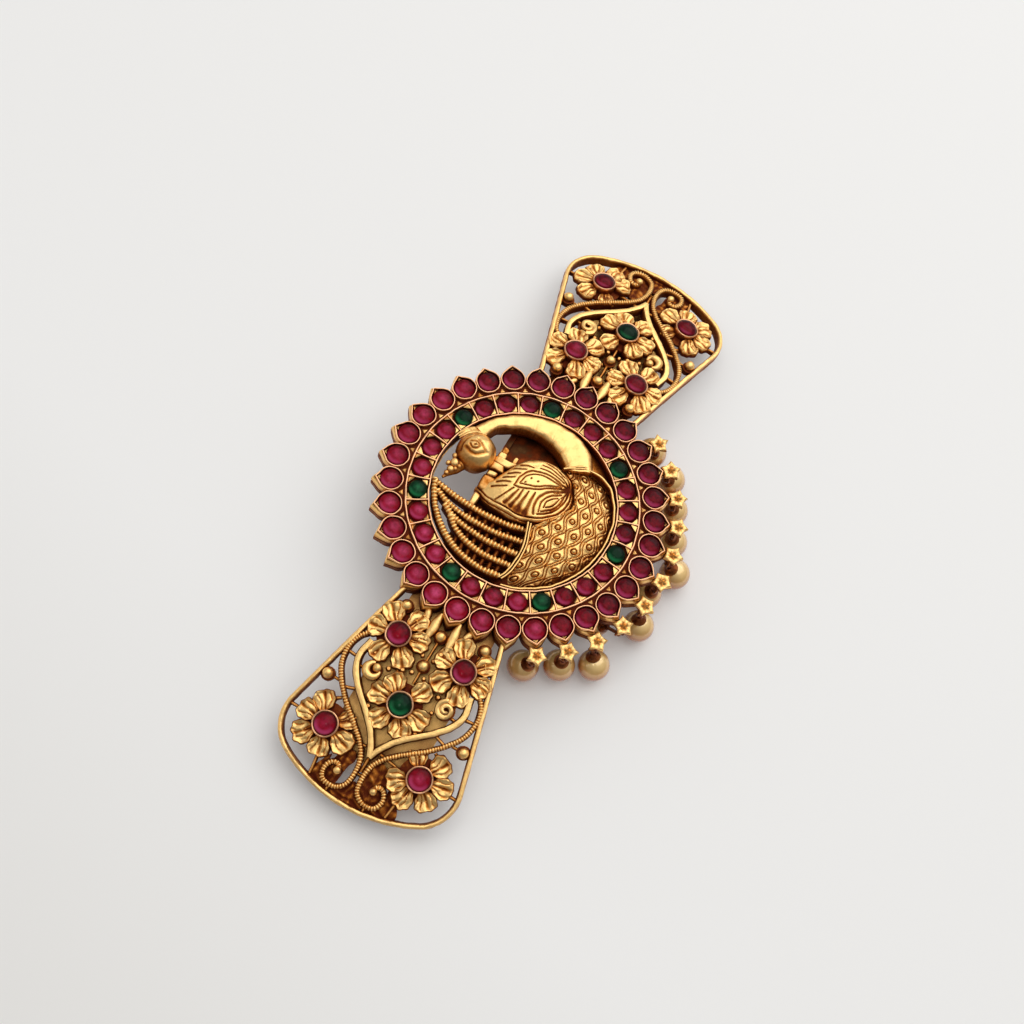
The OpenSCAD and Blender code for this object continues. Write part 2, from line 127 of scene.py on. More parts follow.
def blended(a, b, c, d, t):
    """Points between b and c on a smooth line through a, b, c and d."""
    return 0.5 * (2 * b + (c - a) * t + (2 * a - 5 * b + 4 * c - d) * t ** 2
                  + (3 * b - a - 3 * c + d) * t ** 3)


def smooth_line(points, step):
    """Evenly spaced points, about step apart, on a smooth line through a few points."""
    p = np.asarray(points, float)
    ends = np.vstack([2 * p[0] - p[1], p, 2 * p[-1] - p[-2]])
    t = np.linspace(0, 1, 24, endpoint=False)[:, None]
    dense = [blended(*four, t) for four in zip(ends, ends[1:], ends[2:], ends[3:])]
    return even(np.vstack([*dense, p[-1:]]), step)


def even(line, step):
    walked = np.concatenate([[0], np.cumsum(np.linalg.norm(np.diff(line, axis=0), axis=1))])
    count = max(int(round(walked[-1] / step)), 2) + 1
    at = np.linspace(0, walked[-1], count)
    return np.stack([np.interp(at, walked, line[:, k]) for k in range(line.shape[1])], 1)


def even_loop(line, count):
    line = np.vstack([line, line[:1]])
    return even(line, np.linalg.norm(np.diff(line, axis=0), axis=1).sum() / count)[:-1]


def smooth_loop(points, count):
    """Points on a smooth closed line through a few points."""
    p = np.asarray(points, float)
    t = np.tile(np.linspace(0, 1, 12, endpoint=False)[:, None], (len(p), 1))
    corners = [np.repeat(np.roll(p, k, 0), 12, 0) for k in (1, 0, -1, -2)]
    return even_loop(blended(*corners, t), count)


def arc(centre, r, start, end, count):
    g = np.radians(np.linspace(start, end, count))
    return np.stack([centre[0] + r * np.cos(g), centre[1] + r * np.sin(g)], 1)


def rise(x, low, high):
    """0 at low and below, 1 at high and above."""
    return np.clip((x - low) / (high - low), 0, 1)


def hump(x, middle, width):
    """1 in the middle, falling to 0 at about twice the width away from it."""
    return np.exp(-((x - middle) / width) ** 2)


def spot(plan, middle, size):
    """1 in the middle of a round or oval place on the plan, falling to 0 about it."""
    return np.exp(-(((plan - middle) / size) ** 2).sum(-1))


def mottle(plan, across, along, first=0.0, second=0.0):
    """Waves between -1 and 1 in both directions of the plan."""
    return np.sin(plan[:, 0] * across + first) * np.sin(plan[:, 1] * along + second)


def on_arch(plan, height):
    """Points at a height above the wings' arch, over places on the plan, and the arch's normals."""
    plan = np.asarray(plan, float)
    foot = np.concatenate([plan, np.sqrt(ARCH_R ** 2 - (plan ** 2).sum(-1))[..., None]], -1)
    normal = foot / ARCH_R
    return ARCH_MIDDLE + foot + normal * np.asarray(height, float)[..., None], normal


def on_face(plan, height):
    """The same over the medallion's flat face."""
    plan = np.asarray(plan, float)
    z = np.broadcast_to(FACE + np.asarray(height, float), plan.shape[:-1])
    return np.concatenate([plan, z[..., None]], -1), np.broadcast_to([0.0, 0.0, 1.0], (*plan.shape[:-1], 3))


def placed(point, normal=(0, 0, 1), turn=0.0):
    """Placing with local Z along the normal and local X along the clip before the turn."""
    normal = unit(normal)
    side = unit(np.cross(normal, [1.0, 0.0, 0.0]))
    place = np.eye(4)
    place[:3, 0], place[:3, 1], place[:3, 2], place[:3, 3] = np.cross(side, normal), side, normal, point
    return place @ np.array(Matrix.Rotation(math.radians(turn), 4, "Z"))


def standing(x, y, turn=0.0, height=0.0):
    """Placing at a height above the arch and square to it, over a place on the plan."""
    point, normal = on_arch((x, y), height)
    return placed(point, normal, turn)


def moved(points, place):
    return points @ place[:3, :3].T + place[:3, 3]


def over(place):
    """Like on_arch, for a plan that lies in a placing of its own."""
    return lambda plan, height: (moved(np.column_stack([plan, height]), place), None)


def uneven(points, depth):
    """Points shifted by small waves, as in a casting made by hand."""
    turns = np.array([[1.0, 0.6, -0.4], [-0.5, 1.0, 0.7], [0.6, -0.8, 1.0]]) * 2 * math.pi / CASTING_WAVE
    waves = np.sin(points @ turns + [0.3, 1.7, 4.1])
    waves += 0.6 * np.sin(points @ turns[::-1] * 1.7 + [2.0, 0.4, 5.0])
    return points + depth * waves


def in_scene(name, data):
    thing = bpy.data.objects.new(name, data)
    bpy.context.scene.collection.objects.link(thing)
    return thing


class Shape:
    """Points and faces of one piece in millimetres. Relief is 1 on rubbed raised edges and 0 in
    recesses, and on some parts it also holds painted shade and highlight. The tint is 1 where
    the gold is rosy; on a stone it holds the painted light the stone catches and its own tint."""

    def __init__(self):
        self.points, self.faces, self.relief, self.blush, self.count = [], [], [], [], 0

    def add(self, points, faces, relief=1.0, blush=0.0, place=None):
        points = np.asarray(points, float).reshape(-1, 3)
        if place is not None:
            points = moved(points, place)
        self.faces += [[i + self.count for i in face] for face in faces]
        self.points.append(points)
        self.relief.append(np.broadcast_to(relief, len(points)))
        self.blush.append(np.broadcast_to(blush, len(points)))
        self.count += len(points)

    def take(self, mesh, place=None):
        """Adds a mesh made elsewhere, in millimetres, with its relief and tint."""
        n = len(mesh.vertices)
        points = np.empty(n * 3)
        mesh.vertices.foreach_get("co", points)
        values = {}
        for name in ("relief", "blush"):
            values[name] = np.zeros(n)
            mesh.attributes[name].data.foreach_get("value", values[name])
        faces = [list(p.vertices) for p in mesh.polygons]
        self.add(points.reshape(-1, 3), faces, values["relief"], values["blush"], place)

    def mesh(self, name, scale=1.0, rough=0.0):
        mesh = bpy.data.meshes.new(name)
        points = uneven(np.concatenate(self.points), rough)
        mesh.from_pydata((points * scale).tolist(), [], self.faces)
        for label, values in (("relief", self.relief), ("blush", self.blush)):
            attribute = mesh.attributes.new(label, "FLOAT", "POINT")
            attribute.data.foreach_set("value", np.clip(np.concatenate(values), 0, 1).astype(np.float32))
        return mesh

    def piece(self, name, material, slot, nodes, rough=0.0):
        """Makes the finished piece: metres, outward faces, its finish, and the nodes it stands for."""
        mesh = self.mesh(name, MM, rough)
        work = bmesh.new()
        work.from_mesh(mesh)
        bmesh.ops.recalc_face_normals(work, faces=work.faces)
        work.to_mesh(mesh)
        work.free()
        mesh.shade_smooth()
        mesh.set_sharp_from_angle(angle=SHARP_ANGLE)
        mesh.materials.append(material)
        piece = in_scene(name, mesh)
        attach(piece, BODY)
        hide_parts(*nodes)


def grid_faces(rows, columns, loop_rows=False, loop_columns=False):
    faces = []
    for r in range(rows if loop_rows else rows - 1):
        for c in range(columns if loop_columns else columns - 1):
            a, b = (r + 1) % rows, (c + 1) % columns
            faces.append((r * columns + c, r * columns + b, a * columns + b, a * columns + c))
    return faces


def tube_faces(rows, columns, ring=False):
    """Faces of a tube, closed to a ring or with a cap at each end."""
    faces = grid_faces(rows, columns, ring, True)
    if not ring:
        faces += [tuple(reversed(range(columns))), tuple((rows - 1) * columns + k for k in range(columns))]
    return faces


def sweep(shape, line, ups, profile, closed=False, size=1.0, blush=0.0):
    """A bar along a line. The profile's rows give side, height and relief."""
    line, profile = np.asarray(line, float), np.asarray(profile, float)
    n, m = len(line), len(profile)
    ahead = np.roll(line, -1, 0) - np.roll(line, 1, 0) if closed else np.gradient(line, axis=0)
    side = unit(np.cross(np.broadcast_to(ups, line.shape), ahead))
    up = unit(np.cross(unit(ahead), side))
    size = np.broadcast_to(size, n)[:, None, None]
    points = line[:, None] + size * (profile[:, 0, None] * side[:, None] + profile[:, 1, None] * up[:, None])
    shape.add(points, tube_faces(n, m, closed), np.tile(profile[:, 2], n), blush)


def mirrored(half, crest=()):
    """A symmetrical profile from its one half, with its crest between the halves."""
    return [*half, *crest, *((-side, height, wear_and_shade) for side, height, wear_and_shade in reversed(half))]


def bar(width, top, bottom, wear_and_shade=1.0):
    """Profile of a bar with a rounded top: side, height and relief."""
    half = width / 2
    tall = min(half, (top - bottom) * 0.7)
    crown = [(half * math.cos(a), top - tall + tall * math.sin(a), wear_and_shade * (0.3 + 0.7 * math.sin(a) ** 2))
             for a in np.linspace(0, math.pi, 7)]
    return [(half, bottom, 0), *crown, (-half, bottom, 0)]


def round_profile(r, sides, relief):
    g = np.linspace(0, 2 * math.pi, sides, endpoint=False)
    return [(r * math.cos(a), r * math.sin(a), relief + 0.3 * math.sin(a)) for a in g]


def lathe(shape, place, profile, sides=32, ring=False):
    """A turned form. The profile's rows give radius, height, relief and, where the gold is rosy or a stone
    has painted light, the tint.
    """
    r, height, relief, blush = np.array([(*row, 0)[:4] for row in profile], float).T
    g = np.linspace(0, 2 * math.pi, sides, endpoint=False)
    points = np.stack([np.outer(r, np.cos(g)), np.outer(r, np.sin(g)), np.outer(height, np.ones(sides))], -1)
    faces = tube_faces(len(r), sides, ring)
    shape.add(points, faces, np.repeat(relief, sides), np.repeat(blush, sides), place)


def ball(shape, place, r, flat=1.0, relief=1.0, sides=16):
    """A grain, bright on top and dark where it meets the metal beneath."""
    rows = [(r * math.cos(a), r * flat * math.sin(a), relief * (0.5 + 0.5 * math.sin(a)) ** 0.7)
            for a in np.linspace(-math.pi / 2, math.pi / 2, sides // 2 + 1)[1:-1]]
    lathe(shape, place, rows, sides)


def cushion(shape, outline, middle, height, floor, relief, lift, rings=8, spread=0.75):
    """A raised field inside a closed outline: rings drawn in to its middle, and a wall to its floor.
    height and relief are functions of the plan points and of the share of the way out."""
    n = len(outline)
    share = np.linspace(0, 1, rings + 1)[1:] ** spread
    plan = middle + share[:, None, None] * (outline - middle)
    plan = np.vstack([[middle], plan.reshape(-1, 2)])
    out = np.concatenate([[0], np.repeat(share, n)])
    top, _ = lift(plan, height(plan, out))
    low, _ = lift(plan[-n:], np.full(n, floor))
    base, _ = lift(np.array([middle]), np.array([floor]))
    last, foot = 1 + rings * n, len(top) + n
    faces = [(0, 1 + k, 1 + (k + 1) % n) for k in range(n)]
    faces += [tuple(1 + i for i in f) for f in grid_faces(rings + 1, n, False, True)]
    faces += [(last + (k + 1) % n, last + k, foot) for k in range(n)]
    shape.add(np.vstack([top, low, base]), faces, np.concatenate([relief(plan, out), np.zeros(n + 1)]))


# Node trees for what repeats
def add_node(tree, kind, settings=None, **sockets):
    """Adds a node: its settings first, then values or links for its sockets."""
    node = tree.nodes.new(kind)
    for key, value in (settings or {}).items():
        setattr(node, key, value)
    for key, value in sockets.items():
        socket = node.inputs[int(key[1:])] if key[1:].isdigit() else node.inputs[key.replace("_", " ")]
        if isinstance(value, bpy.types.NodeSocket):
            tree.links.new(value, socket)
        else:
            socket.default_value = value
    return node


class Tree:
    """Makes a node tree with named inputs that ends in realized instances with a material."""

    def __init__(self, name, inputs):
        self.tree = bpy.data.node_groups.new(name, "GeometryNodeTree")
        for label, kind in {"Geometry": "Geometry", **inputs, "Material": "Material"}.items():
            self.tree.interface.new_socket(label, in_out="INPUT", socket_type=f"NodeSocket{kind}")
        self.tree.interface.new_socket("Geometry", in_out="OUTPUT", socket_type="NodeSocketGeometry")
        self.inputs = self.tree.nodes.new("NodeGroupInput")
        self.output = self.tree.nodes.new("NodeGroupOutput")

    def node(self, kind, settings=None, **sockets):
        return add_node(self.tree, kind, settings, **sockets)

    def given(self, label):
        return self.inputs.outputs[label]

    def end(self, instances):
        real = self.node("GeometryNodeRealizeInstances", Geometry=instances)
        wear_and_shade = self.node("GeometryNodeSetMaterial", Geometry=real.outputs[0], Material=self.given("Material"))
        self.tree.links.new(wear_and_shade.outputs[0], self.output.inputs[0])
        return self.tree


def beads_tree():
    """Beads strung along a path, square to the direction kept in the path's own attribute."""
    t = Tree("beads_along_a_path", {"Bead": "Object", "Pitch": "Float"})
    line = t.node("GeometryNodeMeshToCurve", Mesh=t.given("Geometry"))
    points = t.node("GeometryNodeResampleCurve", {"mode": "LENGTH"},
                    Curve=line.outputs[0], Length=t.given("Pitch"))
    ahead = t.node("GeometryNodeInputTangent")
    up = t.node("GeometryNodeInputNamedAttribute", {"data_type": "FLOAT_VECTOR"}, Name="up")
    turn = t.node("FunctionNodeAxesToRotation", {"primary_axis": "Z", "secondary_axis": "X"},
                  _0=up.outputs["Attribute"], _1=ahead.outputs[0])
    bead = t.node("GeometryNodeObjectInfo", Object=t.given("Bead"))
    strung = t.node("GeometryNodeInstanceOnPoints", Points=points.outputs[0],
                    Instance=bead.outputs["Geometry"], Rotation=turn.outputs[0])
    return t.end(strung.outputs[0])


def ring_tree():
    """Copies of one thing at equal steps round the medallion."""
    t = Tree("copies_round_a_ring", {"Thing": "Object", "Count": "Int", "Radius": "Float",
                                     "Start": "Float", "Step": "Float"})
    points = t.node("GeometryNodePoints", Count=t.given("Count"))
    number = t.node("GeometryNodeInputIndex")
    angle = t.node("ShaderNodeMath", {"operation": "MULTIPLY_ADD"}, _0=number.outputs[0],
                   _1=t.given("Step"), _2=t.given("Start"))
    turn = t.node("ShaderNodeCombineXYZ", Z=angle.outputs[0])
    out = t.node("ShaderNodeCombineXYZ", X=t.given("Radius"))
    place = t.node("ShaderNodeVectorRotate", {"rotation_type": "Z_AXIS"}, Vector=out.outputs[0],
                   Angle=angle.outputs[0])
    spread = t.node("GeometryNodeSetPosition", Geometry=points.outputs[0], Position=place.outputs[0])
    thing = t.node("GeometryNodeObjectInfo", Object=t.given("Thing"))
    copies = t.node("GeometryNodeInstanceOnPoints", Points=spread.outputs[0],
                    Instance=thing.outputs["Geometry"], Rotation=turn.outputs[0])
    return t.end(copies.outputs[0])


def grown(tree, base, material, **values):
    """Runs a node tree on a base mesh and gives the result as a plain mesh."""
    holder = in_scene("holder", base)
    things = [holder]
    modifier = holder.modifiers.new("grow", "NODES")
    modifier.node_group = tree
    for socket in tree.interface.items_tree:
        if socket.in_out == "OUTPUT" or socket.name == "Geometry":
            continue
        value = material if socket.name == "Material" else values[socket.name.lower()]
        if isinstance(value, bpy.types.Mesh):
            value = in_scene("helper", value)
            things.append(value)
        modifier[socket.identifier] = value
    bpy.context.view_layer.update()
    result = bpy.data.meshes.new_from_object(holder.evaluated_get(bpy.context.evaluated_depsgraph_get()))
    holder.modifiers.remove(modifier)
    for thing in things:
        bpy.data.objects.remove(thing)
    return result


# Finishes
class Value:
    """A socket whose Python operators add Math nodes."""

    def __init__(self, look, socket):
        self.look, self.socket = look, socket

    def _math(self, operation, other):
        return self.look.node("ShaderNodeMath", {"operation": operation}, _0=self, _1=other)

    def __add__(self, other):
        return self._math("ADD", other)

    def __sub__(self, other):
        return self._math("SUBTRACT", other)

    def __mul__(self, other):
        return self._math("MULTIPLY", other)

    def __truediv__(self, other):
        return self._math("DIVIDE", other)

    def __rsub__(self, other):
        return self.look.node("ShaderNodeMath", {"operation": "SUBTRACT"}, _0=other, _1=self)

    __radd__ = __add__
    __rmul__ = __mul__

    def held(self):
        """Kept between 0 and 1."""
        return self._math("MAXIMUM", 0.0)._math("MINIMUM", 1.0)

    def ramp(self, low, high):
        """0 at low and below, 1 at high and above."""
        return ((self - low) / (high - low)).held()


class Look:
    """Makes the nodes of one finish."""

    def __init__(self, name):
        self.material = bpy.data.materials.new(name)
        self.material.use_nodes = True
        self.tree = self.material.node_tree
        self.tree.nodes.clear()

    def node(self, kind, settings=None, output=0, **sockets):
        """Adds a node and gives one of its outputs."""
        sockets = {key: value.socket if isinstance(value, Value) else value for key, value in sockets.items()}
        return Value(self, add_node(self.tree, kind, settings, **sockets).outputs[output])

    def attribute(self, name):
        return self.node("ShaderNodeAttribute", {"attribute_name": name}, output="Fac")

    def place(self):
        return self.node("ShaderNodeTexCoord", output="Object")

    def normal(self):
        return self.node("ShaderNodeNewGeometry", output="Normal")

    def axis(self, label, vector):
        return self.node("ShaderNodeSeparateXYZ", output=label, Vector=vector)

    def hollow(self, reach):
        """1 on open metal and less in recesses, judged within a reach in millimetres; used in a colour, it
        paints shade.
        """
        return self.node("ShaderNodeAmbientOcclusion", {"samples": 6}, output="AO", Distance=reach * MM)

    def noise(self, size, detail=2.0):
        """Noise whose patches are about size millimetres across."""
        return self.node("ShaderNodeTexNoise", Vector=self.place(), Scale=1 / (size * MM), Detail=detail)

    def mix(self, share, first, second):
        return self.node("ShaderNodeMix", {"data_type": "RGBA"}, output=2, _0=share, _6=first, _7=second)

    def bump(self, height, depth, strength):
        """Bump from a height between 0 and 1, depth in millimetres."""
        return self.node("ShaderNodeBump", Height=height, Distance=depth * MM, Strength=strength)

    def surface(self, **sockets):
        shader = self.node("ShaderNodeBsdfPrincipled", **sockets)
        end = self.tree.nodes.new("ShaderNodeOutputMaterial")
        self.tree.links.new(shader.socket, end.inputs["Surface"])
        return self.material


def colour(r, g, b):
    """Linear colour from the 0 to 255 values that a screen shows."""
    return (*[((v / 255 + 0.055) / 1.055) ** 2.4 if v > 10 else v / 3294.6 for v in (r, g, b)], 1.0)


def antique_gold():
    """Cast gilt metal, bright where it is raised and rubbed, red-brown patina in the recesses, deepened there
    by painted shade.
    """
    look = Look("antique_gold")
    relief, blush = look.attribute("relief"), look.attribute("blush")
    fine, broad = look.noise(0.4, 3.0), look.noise(2.5)
    # Mix of wear and patina from relief, painted shade in recesses from the occlusion node, and random
    # patches; relief also carries painted shade and highlight on some parts
    wear_and_shade = relief * 0.9 + look.hollow(1.8) * 0.5 - 0.42 + (fine - 0.5) * 0.36 + (broad - 0.5) * 0.2
    wear_and_shade = wear_and_shade.held()
    base = look.mix(wear_and_shade.ramp(0.0, 0.4), colour(98, 33, 5), colour(196, 117, 37))
    base = look.mix(wear_and_shade.ramp(0.34, 0.8), base, colour(255, 207, 130))
    base = look.mix(blush * wear_and_shade.ramp(0.1, 0.6) * 0.8, base, colour(244, 184, 144))
    return look.surface(Base_Color=base, Metallic=0.82 + wear_and_shade * 0.18,
                        Roughness=0.66 - wear_and_shade.ramp(0.0, 0.4) * 0.26 - wear_and_shade * 0.08 + (fine - 0.5) * 0.16,
                        Normal=look.bump(fine * 0.6 + broad * 0.4, 0.09, 0.9))


def dark_metal():
    """Brown oxidised metal of the pins and cups under the star caps."""
    look = Look("dark_metal")
    fine = look.noise(0.5, 3.0)
    bare = (look.attribute("relief") * 0.8 + fine * 0.5 - 0.4).held()
    return look.surface(Base_Color=look.mix(bare, colour(84, 30, 14), colour(190, 114, 56)), Metallic=0.85,
                        Roughness=0.2 + fine * 0.2, Normal=look.bump(fine, 0.04, 0.5))


def strip_gold():
    """The plain strip: dull gold beneath the wings, darkened there by painted shade, and a mottled painted
    shadow of the medallion inside its opening.
    """
    look = Look("strip_gold")
    x, height = look.axis("X", look.place()), look.axis("Z", look.place())
    far = look.node("ShaderNodeMath", {"operation": "ABSOLUTE"}, _0=x)
    broad, fine = look.noise(3.0, 3.0), look.noise(0.4)
    # The strip's higher parts at x below about 6 mm stay out of the painted shadow
    lip = height.ramp((FACE - 2.5) * MM, (FACE - 2.15) * MM) * (1 - x.ramp(5.8 * MM, 6.6 * MM))
    # dark is a painted shadow of the medallion on the strip within about 17 to 21 mm of its middle, a little
    # uneven
    dark = (1 - far.ramp(17 * MM, 21 * MM)) * (1 - lip) * (0.8 + broad * 0.4)
    # Painted shade from the occlusion node where the wings cover the strip, with random patches
    unshaded_part = (look.hollow(2.5) + (broad - 0.5) * 0.9).ramp(0.2, 0.8)
    gold = look.mix(unshaded_part, colour(120, 52, 18), colour(255, 204, 122))
    # Colour of the painted shadow, mottled
    shadow_tone = look.mix(broad.ramp(0.42, 0.7), colour(50, 13, 5), colour(140, 64, 24))
    return look.surface(Base_Color=look.mix(dark.held(), gold, shadow_tone), Metallic=0.95,
                        Roughness=0.36 + fine * 0.16, Normal=look.bump(fine * 0.5 + broad, 0.06, 0.5))


def clasp_metal():
    look = Look("clasp_metal")
    fine, broad = look.noise(0.6, 3.0), look.noise(5.0)
    base = look.mix(broad.ramp(0.35, 0.65), colour(150, 116, 70), colour(176, 142, 92))
    return look.surface(Base_Color=base, Metallic=1.0, Roughness=0.3 + fine * 0.15,
                        Normal=look.bump(fine, 0.02, 0.4))


def cabochon(name, deep, body, light):
    """Foil-backed glass with painted light: relief is the share of the way out, and the tint holds
    the painted light the stone catches with its own tint. Painted shade deepens the +X side and
    the rim, a painted glow lightens the middle, and a painted crescent of light lies on the -X side."""
    look = Look(name)
    out, shade = look.attribute("relief"), look.attribute("blush")
    slope = look.axis("X", look.normal())
    cloud = look.noise(0.6, 3.0)
    # glow is painted light: more on stones that catch the light and on slopes facing -X, less on slopes
    # facing +X, with random streaks
    glow = 0.16 + shade * 0.6 - slope * 0.6 + (cloud - 0.5) * 1.1
    # centre brightens the middle of the stone as a painted glow
    centre = 1 - out.ramp(0.1, 0.62)
    base = look.mix((glow + centre * 0.15).held(), deep, body)
    # A painted crescent of light on the -X side, and more painted glow in the middle of stones that catch the
    # light
    crescent = out.ramp(0.45, 0.7) * (1 - out.ramp(0.86, 0.95)) * (0 - slope).ramp(0.15, 0.6)
    base = look.mix((crescent * 0.6 + centre * (shade - 0.35) * cloud * 1.9).held(), base, light)
    # Painted shade round the rim, less on stones that catch the light
    base = look.mix(out.ramp(0.8, 0.95) * (0.75 - shade * 0.35), base, deep)
    return look.surface(Base_Color=base, Metallic=0.0, Roughness=0.1 + cloud * 0.06,
                        IOR=1.5, Specular_IOR_Level=0.1)


def pearl_skin():
    """Golden glass pearl with painted shade: lighter on top and darker towards its underside."""
    look = Look("pearl_skin")
    broad, fine = look.noise(3.5), look.noise(0.5, 3.0)
    # Painted light and shade: lighter where the skin faces up, darker towards the underside
    upper = (look.axis("Z", look.normal()) + (broad - 0.5) * 0.4).ramp(0.2, 0.95)
    base = look.mix(upper, colour(184, 108, 44), colour(255, 214, 134))
    return look.surface(Base_Color=base, Roughness=0.2 + fine * 0.06, Metallic=0.25, Specular_IOR_Level=0.4,
                        Coat_Weight=1.0, Coat_IOR=1.8, Coat_Roughness=0.06,
                        Normal=look.bump(broad, 0.05, 0.4))


def pale_floor():
    """Pale, with painted shade that greys it a little towards -X, and a faint glow as painted fill light."""
    look = Look("pale_floor")
    x, y = look.axis("X", look.place()), look.axis("Y", look.place())
    # Painted shade: greyer towards -X and slightly towards +Y
    base = look.mix((y * 0.28 - x).ramp(0.04, 0.12), colour(233, 232, 230), colour(219, 217, 213))
    # A faint even glow stands in for fill light and lifts the floor's shadows
    return look.surface(Base_Color=base, Roughness=0.8, Emission_Color=colour(236, 234, 230),
                        Emission_Strength=0.12)


GILT = antique_gold()
DARK = dark_metal()
RUBY = cabochon("ruby", colour(58, 3, 10), colour(160, 8, 34), colour(222, 84, 136))
EMERALD = cabochon("emerald", colour(1, 16, 9), colour(3, 56, 26), colour(44, 144, 88))
BEADS, RING = beads_tree(), ring_tree()


# Wings
def wing_outline():
    """Outer edge of a wing on the plan, from one root round the end to the other root."""
    corner_r, corner, root = 6.2, np.array([43.1, 8.25]), np.array([20.6, 8.65])
    side = corner - root
    turn = math.degrees(math.atan2(side[1], side[0]) + math.asin(corner_r / np.linalg.norm(side)))
    reach = WING_END - corner[0]
    end_r = (reach ** 2 + corner[1] ** 2 - corner_r ** 2) / (2 * (reach - corner_r))
    end_turn = math.degrees(math.atan2(corner[1], corner[0] - WING_END + end_r))
    half = np.vstack([[root], arc(corner, corner_r, turn + 90, end_turn, 24),
                      arc((WING_END - end_r, 0), end_r, end_turn, 0, 14)[1:]])
    return even(np.vstack([half, half[-2::-1] * [1, -1]]), 0.55)


def inset(line, distance):
    ahead = unit(np.gradient(line, axis=0))
    return line - distance * np.stack([-ahead[:, 1], ahead[:, 0]], 1)


def laid(shape, line, profile, height=0.0, size=1.0, lift=on_arch, blush=0.0):
    """A bar along plan points. Height and size may be functions of the share of the way along."""
    share = np.linspace(0, 1, len(line))
    height = height(share) if callable(height) else height
    size = size(share) if callable(size) else size
    where, ups = lift(line, np.broadcast_to(height, len(line)))
    sweep(shape, where, ups, profile, size=size, blush=blush)


def wire(shape, points, profile, step=0.35, **settings):
    """A bar along a smooth line through a few plan points."""
    laid(shape, smooth_line(points, step), profile, **settings)


def bead_mesh(length, width, tall):
    """A small milled bead across a wire: length along it, bright on its crest."""
    bead = Shape()
    rows = [(0.45, -0.5, 0.3), (0.86, 0.0, 0.85), (0.7, 0.55, 1.0), (0.3, 0.9, 1.0)]
    lathe(bead, np.diag([length / 2, width / 2, tall, 1.0]), rows, 8)
    return bead.mesh("bead")


def strung(shape, points, bead, pitch, height, lift):
    """Beads along a path on the plan, raised by a height."""
    line = smooth_line(points, pitch / 3)
    where, ups = lift(line, np.full(len(line), height))
    base = bpy.data.meshes.new("path")
    base.from_pydata(where.tolist(), [(k, k + 1) for k in range(len(where) - 1)], [])
    up = base.attributes.new("up", "FLOAT_VECTOR", "POINT")
    up.data.foreach_set("vector", ups.astype(np.float32).ravel())
    shape.take(grown(BEADS, base, GILT, bead=bead, pitch=pitch))


def milled(shape, points, width, top, pitch, lift=on_arch):
    """A wire cut across into beads along its crest, over a dark base."""
    wire(shape, points, bar(width * 0.92, top - 0.08, -1.5, wear_and_shade=0.6), lift=lift)
    bead = bead_mesh(pitch * 1.04, width * 1.04, max(pitch * 0.5, 0.22))
    strung(shape, points, bead, pitch, top - 0.12, lift)


def petal(shape, place, reach, width, number):
    """One thin petal along +X: a ruffled rim, a crease down its middle and veins that fan from its
    root. The number gives it ruffles and veins of its own."""
    g = np.linspace(0, 2 * math.pi, 60, endpoint=False)
    wrapped = (g + math.pi) % (2 * math.pi) - math.pi
    edge = 1 - 0.1 * hump(wrapped, 0, 0.16)
    edge += 0.04 * np.cos(9 * g + number) + 0.02 * np.cos(4 * g + 2 * number)
    half, middle = (reach - PETAL_ROOT) / 2, (reach + PETAL_ROOT) / 2
    outline = np.stack([middle + half * np.cos(g) * edge,
                        width / 2 * np.sin(g) * (1 + 0.25 * np.cos(g)) * edge], 1)

    def veins(plan):
        fan = np.arctan2(plan[:, 1], plan[:, 0] - PETAL_ROOT + 1.3)
        wave = np.sin(fan * 13 + 0.7 * np.sin(plan[:, 0] * 2.3 + number) + 0.5 * number)
        return np.maximum(hump(wave, 0, 0.34), 1.3 * hump(fan, -0.05 * np.sin(number), 0.06))

    def crumple(plan):
        return mottle(plan, 2.3, 2.1, number * 2, number * 3)

    def height(plan, out):
        waves = 0.16 * crumple(plan) - 0.16 * veins(plan)
        far = rise(plan[:, 0], PETAL_ROOT, PETAL_ROOT + 1)
        return (0.1 + 0.2 * hump(out, 0.88, 0.12) + waves * far * (1 - out ** 8)
                - 0.3 * out ** 16 - 0.06 * (plan[:, 0] - middle))

    def relief(plan, out):
        crease = (0.62 - 0.4 * hump(out, 0.87, 0.12)) * veins(plan)
        far = rise(plan[:, 0], PETAL_ROOT + 0.2, PETAL_ROOT + 1.2)
        # The outer edge is darkened as painted shade between the petals
        return (1.0 + 0.14 * crumple(plan) - crease) * (0.2 + 0.8 * far) - 0.9 * out ** 15

    cushion(shape, outline, np.array([middle, 0.0]), height, -0.7, relief, over(place), rings=13)


